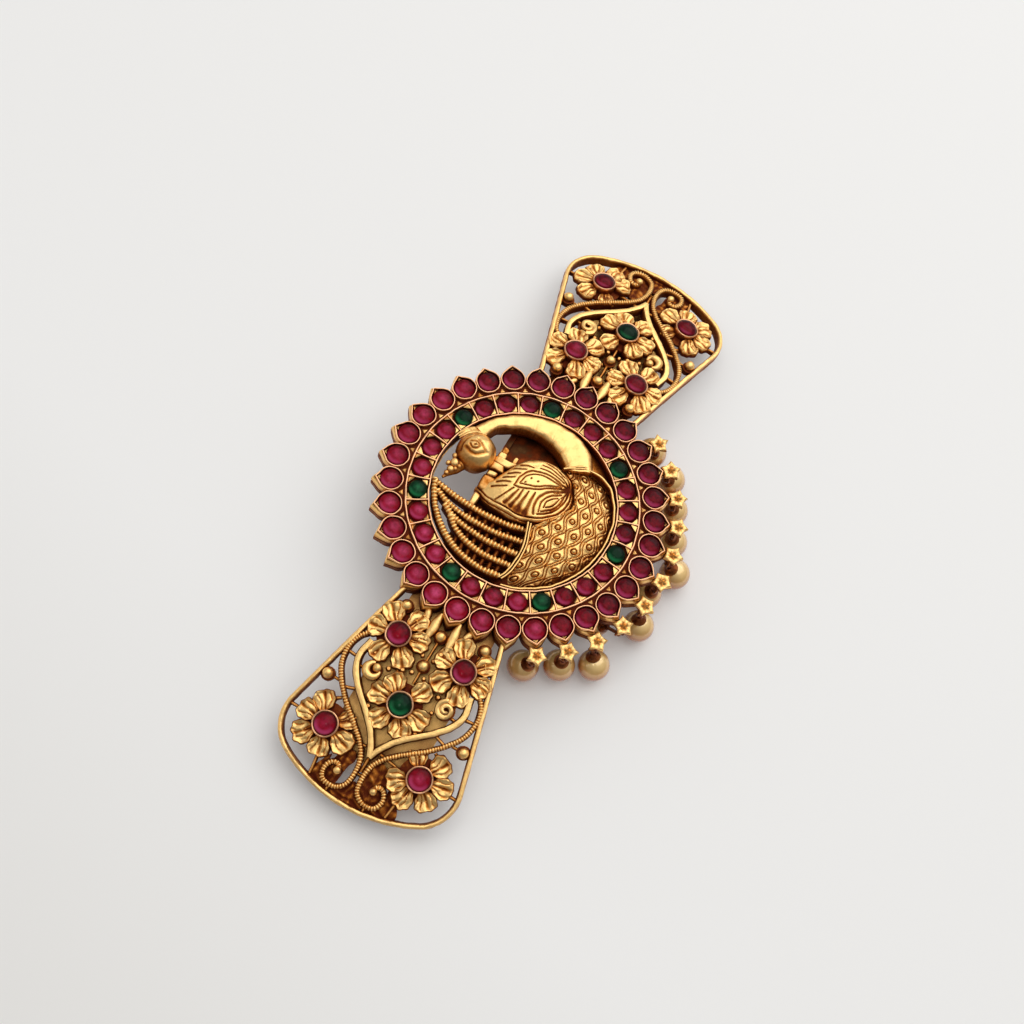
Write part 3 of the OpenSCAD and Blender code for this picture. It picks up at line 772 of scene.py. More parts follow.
def flower(shape, x, y, angles):
    """Petals round a cup for the stone. The cups over the strip reach down to it."""
    over_strip = x < 40 and abs(y) < 7
    depth = -2.7 if over_strip else -1.55
    for k, degrees in enumerate(angles):
        reach, width = PETAL_REACH + 0.2 * math.sin(k * 2.3 + x), PETAL_WIDTH + 0.2 * math.cos(k * 1.7 + y)
        petal(shape, standing(x, y, degrees, 0.05 if k % 2 else -0.12), reach, width, k + x)
    for cx, cy, degrees in COVERED:
        if (cx, cy) == (x, y):
            petal(shape, standing(x, y, degrees, -0.45), 4.2, 2.9, degrees)
    lathe(shape, standing(x, y), [(3.2, -0.95, 0), (3.2, -0.6, 0.1), (1.8, -0.4, 0.05)], 30)
    cup = [(1.2, depth, 0), (CUP_R, depth, 0), (CUP_R, 0.1, 0.1), (CUP_R - 0.06, 0.45, 0.3, 0.3),
           (CUP_R, 0.62, 0.7, 0.9), (CUP_R - 0.03, CUP_RISE - 0.05, 0.9, 1),
           (CUP_R - 0.12, CUP_RISE + 0.02, 1, 1), (CUP_R - 0.24, CUP_RISE - 0.04, 0.8, 1),
           (CUP_R - 0.29, 0.55, 0.1, 0.5), (CUP_R - 0.29, 0.3, 0)]
    lathe(shape, standing(x, y), cup, 40)


def web(shape, outline):
    """A flat dark web between the wires."""
    loop = smooth_loop(outline, 40)

    def lumps(plan):
        x, y = plan[:, 0], plan[:, 1]
        return np.sin(3.1 * x + 2.2 * y + 1.5 * np.sin(1.9 * y)) * np.sin(2.6 * y - 2.1 * x + np.sin(2.7 * x))

    cushion(shape, loop, loop.mean(0), lambda plan, out: 0.12 * lumps(plan) - 0.85, WIRE_FLOOR,
            lambda plan, out: 0.14 + 0.3 * lumps(plan), on_arch)


def leaf(shape, ends, width, height):
    """A short pointed leaf with a crease along its middle."""
    half = [(width, WIRE_FLOOR, 0), (width, -0.25, 0.3), (width * 0.6, 0.05, 1)]
    wire(shape, ends, mirrored(half, [(0, 0.15, 1)]), 0.25, height=height,
         size=lambda t: 0.15 + 0.85 * np.sin(0.2 + (math.pi - 0.4) * t))


def wing_shape():
    """The pierced casting of the right wing."""
    wing = Shape()
    frame_bar = [(FRAME_HALF, FRAME_FLOOR, 0), (FRAME_HALF, -1.05, 0.16), (0.3, -0.95, 0), (0.3, -0.82, 0),
                 (0.38, -0.68, 0.22), (0.3, -0.25, 0.4), (0.2, -0.02, 1), (-0.04, 0.05, 1), (-0.26, 0.0, 0.9),
                 (-0.4, -0.18, 0.45), (-FRAME_HALF, -0.5, 0.1), (-FRAME_HALF, FRAME_FLOOR, 0)]
    rosy = [0.5, 0.4, 0, 0, 0.3, 0, 0, 0, 0, 0, 0, 0]
    ogee_bar = mirrored([(0.56, WIRE_FLOOR, 0), (0.56, -0.5, 0.1), (0.5, -0.25, 0.3), (0.36, 0.1, 0.9)],
                        [(0, 0.2, 1)])
    edge = inset(wing_outline(), FRAME_HALF)
    laid(wing, edge, frame_bar, blush=np.tile(rosy, len(edge)))
    for side in (1, -1):
        flip = np.array([1, side])
        wire(wing, np.array(OGEE) * flip, ogee_bar)
        milled(wing, np.array(MILLED) * flip, 0.9, 0.02, 0.4)
        ball(wing, standing(47.3, 2.95 * side), 0.6, relief=0.95)
        for tie in TIES:
            wire(wing, np.array(tie) * flip, bar(0.5, -0.5, TIE_FLOOR, wear_and_shade=0.6), 0.6)
        for ends, width, height in LEAVES:
            leaf(wing, np.array(ends) * flip, width, height)
        for x, y, r in LUMPS:
            ball(wing, placed(on_arch((x, y * side), -0.6)[0]), r, flat=1.3, relief=0.6, sides=12)
    for x, y, r, both in GRAINS:
        for side in (1, -1) if both else (1,):
            place = standing(x, y * side)
            ball(wing, place, r)
            lathe(wing, place, [(r * 1.3, TIE_FLOOR, 0), (r * 1.3, -0.45, 0.2), (r, -0.3, 0)], 16)
    for outline in WEBS:
        web(wing, outline)
    for start, end, width in ((24.4, 32, 0.45), (43.4, 46, 0.6)):
        wire(wing, [(start, 0), (end, 0)], bar(width, -0.4, TIE_FLOOR, wear_and_shade=0.5), 0.8)
    coil = arc(COIL_AT, np.linspace(1.3, 0.25, 60), 190, 190 + 1.7 * 360, 60)
    laid(wing, coil, round_profile(0.36, 8, 0.6), lambda t: 0.4 * t - 0.05, lambda t: 1.3 - 0.6 * t)
    laid(wing, arc(CRESCENT_AT, 1.0, -170, 100, 24), round_profile(0.66, 10, 0.65),
         size=lambda t: np.sin(0.4 + (math.pi - 0.7) * t))
    ball(wing, standing(32.6, -5.5), 0.7, relief=0.8)
    for x, y, r, top, top_r in ((*COIL_AT, 1.5, -0.4, 0.6), (33.2, -5.9, 1.35, -0.5, 0.5)):
        lathe(wing, standing(x, y), [(r, WIRE_FLOOR, 0), (r, top, 0.2), (top_r, top + 0.1, 0)], 20)
    for x, y, angles in FLOWERS:
        flower(wing, x, y, angles)
    return wing


def half_turned(shape):
    """The same shape turned half a turn about the medallion's middle."""
    other = Shape()
    other.add(np.concatenate(shape.points) * [-1, -1, 1], shape.faces, np.concatenate(shape.relief),
              np.concatenate(shape.blush))
    return other


# Medallion
def petal_outline(r, tip, count):
    """Closed outline of a petal-shaped setting that points along +X."""
    g = math.degrees(math.acos(r / tip))
    return even_loop(np.vstack([[(tip, 0)], arc((0, 0), r, g, 360 - g, 40)]), count)


def setting_mesh():
    """One petal-shaped setting: a thin rosy rim, a stepped wall and a bright piece in its point."""
    shape = Shape()
    wall = SETTING_WALL
    rim = [(-wall, -SETTING_DEPTH, 0), (-wall, -2.1, 0.1), (-wall + 0.1, -2.0, 0), (-wall + 0.1, -1.86, 0),
           (-wall, -1.76, 0.4), (-wall - 0.06, -0.9, 0.8), (-wall, -0.62, 0.8), (-wall + 0.1, -0.52, 0.05),
           (-wall + 0.1, -0.42, 0.05), (-wall, -0.32, 0.8), (-wall, -0.08, 0.9), (-wall + 0.06, 0.0, 1),
           (wall - 0.06, 0.0, 1), (wall, -0.07, 0.6), (wall, -0.3, 0), (wall, -SETTING_DEPTH, 0)]
    edge = petal_outline(SETTING_R - wall + 0.02, SETTING_TIP - wall, 48)
    line = np.column_stack([edge, np.zeros(len(edge))])
    rosy = [float(height > -0.3) for _, height, _ in rim]
    sweep(shape, line, (0, 0, 1), rim, closed=True, blush=np.tile(rosy, len(line)))
    floor = petal_outline(SETTING_R - wall, SETTING_TIP - wall, 30)
    cushion(shape, floor, np.zeros(2), lambda plan, out: 0 * out - 0.75, -SETTING_DEPTH,
            lambda plan, out: 0 * out, over(np.eye(4)), rings=2)
    corner_bit(shape, np.array([(1.5, -0.42), (2.06, 0.0), (1.5, 0.42), (1.66, 0.0)]), -0.16)
    for points in shape.points:
        below = rise(-points[:, 2], 0.25, 1.35) * rise(points[:, 0], 0, SETTING_TIP) ** 2
        points[:, 0] += 0.5 * below * (np.hypot(points[:, 0], points[:, 1]) > SETTING_R - 0.3)
    return shape.mesh("setting")


def corner_bit(shape, corners, top, place=None, relief=1.0):
    """A small bright piece of gold with a raised middle."""
    n = len(corners)
    middle = corners.mean(0)
    low = np.column_stack([corners, np.full(n, top - 0.6)])
    high = np.column_stack([middle + (corners - middle) * 0.92, np.full(n, top - 0.12)])
    faces = [(k, (k + 1) % n, n + (k + 1) % n, n + k) for k in range(n)]
    faces += [(n + k, n + (k + 1) % n, 2 * n) for k in range(n)] + [tuple(reversed(range(n)))]
    points = np.vstack([low, high, [[*middle, top]]])
    shape.add(points, faces, np.repeat([0, relief], [n, n + 1]), place=place)


def divider_mesh():
    shape = Shape()
    line = np.array([[OPENING_R + 0.2, 0, 0], [CELL_R, 0, 0], [CHANNEL_OUT - 0.15, 0, 0]])
    sweep(shape, line, (0, 0, 1), mirrored([(0.12, -0.8, 0), (0.12, -0.08, 0.8), (0.06, 0, 1)]), blush=1.0)
    return shape.mesh("divider")


def star_mesh():
    """A thick five-pointed star cap with creased arms, on a cup with its arm to the setting."""
    shape = Shape()
    corner = np.radians(np.arange(10) * 36)
    r = np.tile([STAR_TIP, STAR_NOTCH], 5)
    outline = even_loop(np.stack([r * np.cos(corner), r * np.sin(corner)], 1), 60)

    def ridge(plan):
        a = np.degrees(np.arctan2(plan[:, 1], plan[:, 0]))
        return 1 - np.abs(((a + 36) % 72) - 36) / 18

    def height(plan, out):
        crease = 0.1 * ridge(plan) * (1 - out ** 6)
        return -0.55 + crease + 0.16 * hump(out, 0, 0.2) - 0.08 * hump(out, 0.5, 0.12) - 0.1 * out ** 12

    def relief(plan, out):
        groove = hump(np.abs(ridge(plan)), 0.25, 0.2) * (out > 0.25) * (out < 0.8)
        return 1.0 - 0.4 * groove - 0.4 * hump(out, 0.3, 0.08)

    cushion(shape, outline, np.zeros(2), height, -1.15, relief, over(np.eye(4)))
    cup = [(0.4, -2.25, 0), (0.62, -2.05, 0.1), (0.8, -1.6, 0.4), (0.98, -1.2, 0.5), (0.7, -0.9, 0)]
    lathe(shape, np.eye(4), cup, 20)
    arm = np.array([[-2.6, 0, -1.75], [-1.6, 0, -1.7], [-0.4, 0, -1.7]])
    sweep(shape, arm, (0, 0, 1), round_profile(0.5, 10, 0.1))
    return shape.mesh("star_cap")


def medallion_shape():
    shape = Shape()
    lip = [(0.08, 0, 1, 1), (0.2, 0, 1, 1), (0.27, -0.08, 0.8, 1), (0.34, -0.75, 0, 0)]
    channel = [(OPENING_R, RING_FLOOR, 0), (OPENING_R, -1.1, 0.05), (OPENING_R + 0.06, -1.0, 0.3),
               (OPENING_R, -0.85, 0.1), (OPENING_R, -0.1, 0.5, 1),
               *((OPENING_R + off, *rest) for off, *rest in lip),
               *((CHANNEL_OUT - off, *rest) for off, *rest in reversed(lip)),
               (CHANNEL_OUT, -0.08, 0.8, 1), (CHANNEL_OUT, -0.55, 0), (RING_OUT, -0.6, 0),
               (RING_OUT, RING_FLOOR, 0)]
    lathe(shape, placed((0, 0, FACE)), channel, RING_SIDES, ring=True)
    ledge = [(OPENING_R - 0.1, -0.05, 0.6), (OPENING_R - 0.12, 0.12, 0.9), (OPENING_R + 0.1, 0.2, 0.7),
             (OPENING_R + 0.2, 0.0, 0.3)]
    lathe(shape, placed((0, 0, FACE + RING_FLOOR)), ledge, RING_SIDES, ring=True)
    step, cell = 2 * math.pi / OUTER_COUNT, 2 * math.pi / CELL_COUNT
    blank = bpy.data.meshes.new("blank")
    for thing, count, radius, start, turn in (
            (setting_mesh(), OUTER_COUNT, OUTER_R, 0.0, step),
            (divider_mesh(), CELL_COUNT, 0.0, cell / 2, cell),
            (star_mesh(), STAR_COUNT, STAR_R, -math.pi / 2 - step * (STAR_COUNT // 2), step)):
        copies = grown(RING, blank, GILT, thing=thing, count=count, radius=radius, start=start, step=turn)
        shape.take(copies, placed((0, 0, FACE)))
    for k in range(CELL_COUNT):
        place = placed((0, 0, FACE), turn=math.degrees(k * cell))
        for r_sign in (-1, 1):
            for side in (-1, 1):
                r = CELL_R + 0.07 + r_sign * 1.42
                y = side * (r * math.tan(cell / 2) - 0.2)
                size = random.uniform(0.7, 1.0)
                corners = np.array([(r, y), (r - r_sign * size, y), (r, y - side * size)])[::r_sign * side]
                corner_bit(shape, corners, random.uniform(-0.16, -0.02), place, random.uniform(0.8, 1.2))
    corners = np.array([(18.0, -0.42), (18.6, -0.08), (18.6, 0.08), (18.0, 0.42)])
    for k in range(OUTER_COUNT):
        place = placed((0, 0, FACE), turn=math.degrees((k + 0.5) * step))
        corner_bit(shape, corners, random.uniform(-0.4, -0.25), place, random.uniform(0.5, 0.9))
    return shape


# Peacock
BIRD_WING = [(-1.9, 7.3), (-3.3, 5), (-3.8, 2), (-3.8, -0.3), (-3, -2.6), (-1.8, -4.3), (0, -5.8), (2, -6.8),
             (3.6, -6.8), (5.1, -5.9), (6.5, -4.9), (7.3, -3), (7.5, -1), (6.9, 1), (5.9, 2.5), (4.4, 3.5),
             (2, 4.7), (0, 5.8)]
# Engraved lines of the folded wing: the width at the start and at the end, then the points
WING_LINES = [
    (0.22, 0.2, [(-1.9, 6.6), (-2.6, 4.6), (-2.8, 2), (-2.8, -0.6), (-2.1, -2.6), (-0.9, -4.2), (0.8, -5.5),
                 (2.8, -6), (4.3, -5.7)]),
    (0.2, 0.2, [(-2.3, 6.9), (-3.2, 4.6), (-3.4, 2), (-3.4, -0.7), (-2.7, -2.9), (-1.4, -4.7), (0.5, -6.1),
                (2.7, -6.6), (4.5, -6.2)]),
    (0.22, 0.3, [(0.8, 2.4), (0.9, 1.2), (1.9, -0.8), (3.2, -2.5), (4.4, -3.9)]),
    (0.22, 0.3, [(0.9, 2.4), (2.6, 2.2), (4.2, 1.2), (5, -0.8), (5.1, -2.8), (4.8, -3.9)]),
    (0.18, 0.25, [(1.4, 1.7), (2.2, -0.4), (3.5, -2.2), (4.4, -3.6)]),
    (0.18, 0.25, [(1.5, 1.8), (3, 1.5), (4.2, 0.1), (4.6, -1.8), (4.6, -3.6)]),
    (0.22, 0.22, [(1.95, 1.2), (2.05, 1.15)]),
    (0.22, 0.22, [(3.1, -0.4), (3.2, -0.45)]),
    (0.2, 0.2, [(3.0, 0.7), (3.1, 0.65)]),
    (0.25, 0.18, [(5.4, -3.8), (5.7, -1.6), (5.4, 0.3)]),
    (0.25, 0.16, [(5.9, -3.6), (6.3, -1.4), (6.1, 0.2)]),
    (0.25, 0.16, [(6.4, -3.5), (6.9, -1.4), (6.8, -0.2)]),
    (0.3, 0.2, [(-0.9, 5.2), (-0.5, 4.5), (0.1, 3.3)]),
    (0.3, 0.2, [(0.1, 4.9), (0.5, 4.2), (1.0, 3.1)]),
    (0.3, 0.2, [(1.1, 4.4), (1.5, 3.8), (2.0, 2.9)]),
    (0.3, 0.2, [(2.1, 4.1), (2.5, 3.4), (3.0, 2.5)]),
    (0.3, 0.2, [(3.2, 3.7), (3.6, 3.0), (4.0, 2.0)]),
    (0.3, 0.2, [(4.3, 3.1), (4.6, 2.4), (4.9, 1.2)]),
    (0.25, 0.2, [(-2.5, 3.7), (-1, 2.9), (0.4, 2.2)]),
    (0.5, 0.18, [(-2.3, 2.3), (-0.9, 1.8), (0.5, 1.45)]),
    (0.5, 0.18, [(-2.3, 1.3), (-0.9, 1.0), (0.7, 0.85)]),
    (0.7, 0.18, [(-2.4, 0.15), (-0.8, 0.1), (0.9, 0.0)]),
    (0.7, 0.18, [(-2.4, -1.1), (-0.8, -1.0), (1.3, -0.95)]),
    (0.3, 0.12, [(4.9, -5.1), (3.8, -4.3), (2.9, -3.4)]),
    (0.3, 0.12, [(4.9, -5.1), (4.1, -3.9), (3.5, -2.9)]),
    (0.3, 0.12, [(4.9, -5.1), (4.9, -3.9), (4.9, -2.8)]),
    (0.3, 0.12, [(4.9, -5.1), (5.6, -4.2), (6.1, -3.1)]),
    (0.3, 0.12, [(4.9, -5.1), (6.0, -4.6), (6.6, -3.8)]),
    (0.3, 0.12, [(4.9, -5.1), (3.9, -5.0), (2.9, -4.6)]),
    (0.3, 0.3, [(-1.6, -2.3), (-0.4, -1.7), (1.4, -1.9), (3, -3.1), (4.2, -4.7)]),
    (0.25, 0.25, [(-1.3, -2.8), (-0.4, -4), (1.2, -5), (3, -5.4), (4.2, -5.2)]),
    (0.18, 0.25, [(-0.9, -2.8), (0.6, -2.4), (2, -3), (3.4, -4.4)]),
    (0.18, 0.25, [(-0.7, -3.1), (0.4, -4.2), (1.8, -4.9), (3.4, -4.9)]),
    (0.18, 0.18, [(0, -3.1), (1.2, -3.1), (2.6, -4.2)]),
    (0.18, 0.18, [(0.2, -3.4), (1.2, -4.2), (2.6, -4.5)]),
]
# Columns: inner edge x and y, outer edge x and y, from the tail's collar round to the neck
BREAST = [
    (-12.5, -3.2, -13.4, -3.5), (-11, -3.9, -12.8, -5.4), (-8.4, -4.1, -11.6, -7.5), (-6, -3.7, -9.8, -9.8),
    (-3.8, -3.0, -7.3, -11.6), (-2.2, -4.0, -4.6, -12.9), (0, -5.6, -1.5, -13.6), (2, -6.6, 1.7, -13.6),
    (3.6, -6.6, 4.6, -13.0), (5.1, -5.8, 7.0, -11.7), (6.5, -4.8, 8.9, -9.9), (7.6, -2.9, 9.7, -6.9)]
# Columns: outer edge x and y, inner edge x and y, from the head down to the breast
NECK = [(6.4, 12.2, 5.6, 9.9), (9.3, 10.3, 7.9, 8.9), (11.6, 7.7, 9.2, 7.0), (13.2, 4.4, 10.2, 4.6),
        (13.9, 1.0, 10.3, 2.0), (13.5, -2.4, 9.6, -0.4), (12.0, -5.2, 8.5, -2.1), (9.4, -6.9, 7.5, -3.0)]
# Side of the casting between the neck and the ring, darkened as painted shade: inner x and y, outer x and y
SIDE_WALL = [(13.9, 0.4, 13.95, 0.4), (13.5, -2.2, 13.8, -1.9), (12.4, -4.6, 13.2, -4.6),
             (10.6, -6.1, 12, -7.1), (9.2, -7, 11, -8.6), (9, -8.6, 9.9, -9.8), (8.2, -10.4, 8.6, -11)]
TAIL = [
    [(-4.1, -2.6), (-4.9, 1), (-5.2, 5), (-5, 9), (-4.4, 12.6)],
    [(-6, -2.9), (-6.8, 1), (-7, 5), (-6.6, 9), (-5.6, 11.6)],
    [(-8.1, -3.1), (-8.6, 1), (-8.5, 4.5), (-8, 7.6), (-7, 9.6)],
    [(-10.2, -3.1), (-10.7, 1), (-10.3, 4), (-9.4, 6.4), (-8.1, 8)],
    [(-12.4, -2.6), (-12.8, 0.6), (-12.4, 3.8), (-11.4, 6.4), (-9.8, 8.8), (-7.8, 10.8), (-5.8, 12.1),
     (-4.2, 12.9)]]
HEAD, HEAD_R = (2.75, 9.85, -0.3), 3.05
BEAK = [(1.2, 10.6), (-0.6, 11), (-1.9, 11.6), (-3.2, 12.2)]
# Centre x, centre y, radius and relief
BEAK_GRAINS = [(-0.5, 11.7, 0.75, 0.9), (-1.7, 11.75, 0.55, 0.75), (-2.5, 12, 0.4, 0.6),
               (0.5, 12.2, 0.5, 0.7), (-1.0, 12.5, 0.4, 0.7), (-0.6, 10.9, 0.45, 0.5),
               (-1.3, 11.2, 0.4, 0.5)]
HEAD_LINES = [
    (0.5, 0.4, [(1.9, 11.4), (1.4, 10.4), (1.5, 9.4), (2.1, 8.7), (2.6, 8.2)]),
    (0.4, 0.45, [(3.8, 10.3), (3.3, 9.3), (2.7, 8.4)]),
    (0.3, 0.35, [(2.5, 11.1), (2.1, 10.5), (2.3, 9.8), (2.9, 9.7), (3.3, 10.4), (3.0, 11.2)]),
    (0.3, 0.3, [(2.6, 10.5), (2.75, 10.3)]),
    (0.3, 0.2, [(1.2, 11.9), (2.2, 12.1), (3.4, 11.8), (4.2, 11.2)])]
# Short blocks between the head, the strip's edge and the folded wing: relief, height, outline
BLOCKS = [
    (0.5, 0.2, [(-1.9, 7.0), (0.4, 7.1), (0.6, 5.3), (-1.0, 5.0), (-1.9, 5.8)]),
    (1.0, 0.45, [(0.5, 6.9), (1.3, 6.8), (1.35, 5.3), (0.7, 5.5)]),
    (0.75, 0.3, [(1.7, 7.0), (3.0, 7.0), (3.0, 5.1), (1.9, 4.6)]),
    (0.95, 0.2, [(3.0, 7.0), (4.1, 7.0), (4.2, 5.2), (4.35, 3.4), (3.1, 4.3), (2.9, 5.6)]),
    (1.0, -0.4, [(4.2, 6.9), (5.2, 6.9), (5.2, 5.6), (4.2, 5.6)]),
    (0.5, -0.7, [(5.1, 6.8), (6.4, 6.6), (6.2, 5.8), (5.2, 5.8)]),
    (0.85, -0.9, [(4.3, 4.6), (5.9, 4.5), (5.9, 3.9), (4.4, 3.9)]),
    (0.95, -0.4, [(-5, 6.9), (-2.6, 6.9), (-2.8, 5.9), (-5, 5.9)])]


def lines_field(plan, lines):
    """1 in the middle of any of the lines, falling to 0 beside them."""
    total = np.zeros(len(plan))
    for start, end, points in lines:
        line = smooth_line(points, 0.08)
        width = np.linspace(start, end, len(line)) / 2
        total = np.maximum(total, np.exp(-((plan[:, None] - line) ** 2).sum(-1) / width ** 2).max(1))
    return total


def bird_wing(shape):
    def height(plan, out):
        dome = 1.5 - ((plan - [1.6, 0]) ** 2).sum(1) / 30
        return dome - 0.22 * lines_field(plan, WING_LINES) - 0.5 * out ** 24

    def relief(plan, out):
        smooth_part = rise(plan[:, 1] + 0.3 * plan[:, 0], 3.6, 5.6)
        # dark holds painted shade along the straight edge at (-2.3, 0) and a dark spot where the engraved
        # lines meet at (4.9, -5.1)
        dark = spot(plan, [4.9, -5.1], math.sqrt(1.3)) + spot(plan, [-2.3, 0], [0.6, 2.4])
        hollow = spot(plan, [0.6, -3.8], [1.2, 0.7])
        grooves = lines_field(plan, WING_LINES)
        return 1.0 - 0.85 * grooves - 0.3 * smooth_part - 0.9 * dark - 0.4 * hollow - 0.5 * out ** 30

    outline = smooth_loop(BIRD_WING, 250)
    cushion(shape, outline, np.array([1.5, -0.6]), height, BIRD_FLOOR, relief, on_face, rings=84, spread=0.9)


def table_lines(table, count):
    """Smooth lines down a table of points: one array of points for each pair of columns."""
    fine = smooth_line(table, 0.02)
    pick = fine[np.linspace(0, len(fine) - 1, count).round().astype(int)]
    return pick[:, :2], pick[:, 2:]


def patch(shape, first, second, across, height, relief, floor=BIRD_FLOOR):
    """A raised field between two lines, with walls to its floor. height and relief are functions of
    the plan points and of the share of the way from the first line to the second."""
    columns = len(first)
    t = np.repeat(np.linspace(0, 1, across), columns)
    plan = np.tile(first, (across, 1)) * (1 - t[:, None]) + np.tile(second, (across, 1)) * t[:, None]
    index = np.arange(across * columns).reshape(across, columns)
    rim = np.concatenate([index[0], index[1:, -1], index[-1, -2::-1], index[-2:0:-1, 0]])
    n, size = len(rim), index.size
    faces = grid_faces(across, columns) + [tuple(size + k for k in range(n))]
    faces += [(rim[k], size + k, size + (k + 1) % n, rim[(k + 1) % n]) for k in range(n)]
    points = np.vstack([on_face(plan, height(plan, t))[0], on_face(plan[rim], np.full(n, floor))[0]])
    shape.add(points, faces, np.concatenate([relief(plan, t), np.zeros(n)]))


def breast(shape):
    """Scales like eyes, in staggered rows that sag with the breast, with a grain in each."""
    row_step, scale_w, sag = 1.37, 3.85, 0.025
    inner, outer = table_lines(BREAST, 260)

    def marks(plan):
        x, y = plan[:, 0], plan[:, 1] - sag * plan[:, 0] ** 2
        net, ring, grain, groove = (np.zeros(len(plan)) for _ in range(4))
        for row in range(-3, 7):
            row_y, shift = -6.46 - row_step * row, -1.6 + (scale_w / 2 if row % 2 else 0)
            turn = 2 * math.pi * (x - shift) / scale_w
            slant = 0.4 * 2 * math.pi / scale_w * np.sin(turn)
            off = (y - row_y + row_step / 2 + 0.4 * np.cos(turn)) / np.sqrt(1 + slant ** 2)
            off += 0.05 * np.sin(x * 3.1 + row * 2)
            away = np.hypot((x - shift + scale_w / 2) % scale_w - scale_w / 2, y - row_y)
            net = np.maximum(net, hump(off, 0, 0.12))
            groove = np.maximum(groove, np.maximum(hump(np.abs(off), 0.2, 0.055), hump(away, 0.42, 0.075)))
            grain = np.maximum(grain, np.sqrt(np.clip(1 - (away / 0.34) ** 2, 0, 1)))
            ring = np.maximum(ring, hump(away, 0.62, 0.1))
        return net, ring, grain, groove * (1 - ring) * (1 - net)

    def height(plan, t):
        net, ring, grain, groove = marks(plan)
        dome = 1.2 - ((plan - [-1, -7]) ** 2).sum(1) / 48 - 1.1 * t ** 7
        scales = 0.14 * net + 0.1 * ring + 0.34 * grain - 0.14 * groove
        lumps = hump(t, 0.9, 0.05) * mottle(plan, 4.2, 4.6, 0, 1)
        return dome + (1 - rise(t, 0.92, 0.98)) * scales + 0.25 * hump(t, 0.03, 0.02) + 0.2 * lumps

    def relief(plan, t):
        net, ring, grain, groove = marks(plan)
        raised = np.maximum(np.maximum(net, ring), (grain > 0.3) * 1.0)
        # The outer margin, where the breast falls away, is darkened as painted shade
        outer_part = rise(t, 0.78, 0.92)
        flat = 0.9 - 0.5 * outer_part
        return flat + (1 - flat) * np.maximum(raised * (1 - 0.4 * outer_part), hump(t, 0.03, 0.02)) - groove

    patch(shape, inner, outer, 92, height, relief)
    collar = np.array([(-12.7, -3.1), (-11, -3.75), (-8, -4.0), (-5.4, -3.5), (-3.2, -2.7)])
    for off in (0.0, 0.42):
        wire(shape, collar + [0, off], bar(0.3, 0.1, -1.2), height=lambda t: 0.35 + 0.75 * t, lift=on_face)
    edge = np.vstack([outer[:-24:6], [(9.6, -7.4), (8.8, -4.6), (7.3, -2.7)]])
    wire(shape, edge, bar(0.34, 0.3, -1.4), height=lambda t: 0.9 * t ** 6 - 0.3, lift=on_face)


def neck(shape):
    """The curved neck with its fine hatching, its two cuffs and the sides of the casting, darkened as painted
    shade.
    """
    outer, inner = table_lines(NECK, 260)

    def hatching(plan, t):
        turn = np.arctan2(plan[:, 1] - 1, plan[:, 0] - 1)
        uneven_lines = np.sin(turn * 97 + 2 * np.sin(turn * 37)) * (0.5 + 0.5 * np.sin(turn * 23 + 1))
        return np.clip(uneven_lines, 0, 1) * rise(t, 0.4, 0.9)

    def height(plan, t):
        return -0.35 + 0.85 * (1 - np.abs(2 * t - 1) ** 4) ** 0.6 - 0.03 * hatching(plan, t)

    def relief(plan, t):
        mottled = mottle(plan, 2.3, 2.9)
        return 0.84 + 0.1 * mottled - 0.4 * np.abs(2 * t - 1) ** 8 - 0.18 * hatching(plan, t)

    patch(shape, outer, inner, 24, height, relief)
    # The side walls and the band inside the opening get a low relief: painted shade
    wall_in, wall_out = table_lines(SIDE_WALL, 60)
    patch(shape, wall_out, wall_in, 8, lambda plan, t: 0.8 * t ** 0.7 - 1.7, lambda plan, t: 0.22 + 0.3 * t,
          SIDE_FLOOR)
    patch(shape, arc((0, 0), 13.97, -40, -170, 80), arc((0, 0), 12.4, -40, -168, 80), 6,
          lambda plan, t: 0.5 * t - 1.9, lambda plan, t: 0.05 + 0.1 * t, SIDE_FLOOR)
    for k in (3, 7):
        ends = np.array([outer[-k], inner[-k]])
        wire(shape, [ends[0], ends.mean(0) + 0.2, ends[1]], bar(0.26, 0.1, -0.5), 0.3,
             height=lambda t: 0.85 * np.sin(math.pi * t) - 0.2, lift=on_face)


def head(shape):
    """A ball with engraved lines, a comb, a beak and the grains beside it."""
    x, y, z = HEAD
    rows, columns = 58, 100
    g, a = np.meshgrid(np.linspace(-math.pi / 2, math.pi / 2, rows + 2)[1:-1],
                       np.linspace(0, 2 * math.pi, columns, endpoint=False), indexing="ij")
    out = np.stack([np.cos(g) * np.cos(a), np.cos(g) * np.sin(a), np.sin(g)], -1).reshape(-1, 3)
    groove = lines_field(out[:, :2] * HEAD_R + [x, y], HEAD_LINES) * (out[:, 2] > 0)
    points = out * (HEAD_R - 0.24 * groove)[:, None] + [x, y, FACE + z]
    # Painted light and shade on the ball: lighter where it faces +X, -Y and up, darker on the other side; the
    # engraved lines are darker
    relief = np.clip(0.5 + out @ [0.3, -0.35, 0.45], 0, 1.1) - 0.6 * groove
    shape.add(points, tube_faces(rows, columns), relief)
    for k, r in enumerate((3.25, 3.65, 4.05)):
        laid(shape, arc((x, y), r, 80 - 4 * k, 2 + 4 * k, 30), round_profile(0.25, 8, 0.7), 0.3 - 0.2 * k,
             lambda t: np.sin(0.3 + (math.pi - 0.6) * t) ** 0.6, on_face)
    wire(shape, BEAK, round_profile(1.25, 14, 0.15), 0.3, height=-0.5, lift=on_face,
         size=lambda t: 1 - 0.84 * t)
    for x, y, r, wear_and_shade in BEAK_GRAINS:
        ball(shape, placed((x, y, FACE + 0.1)), r, relief=wear_and_shade)


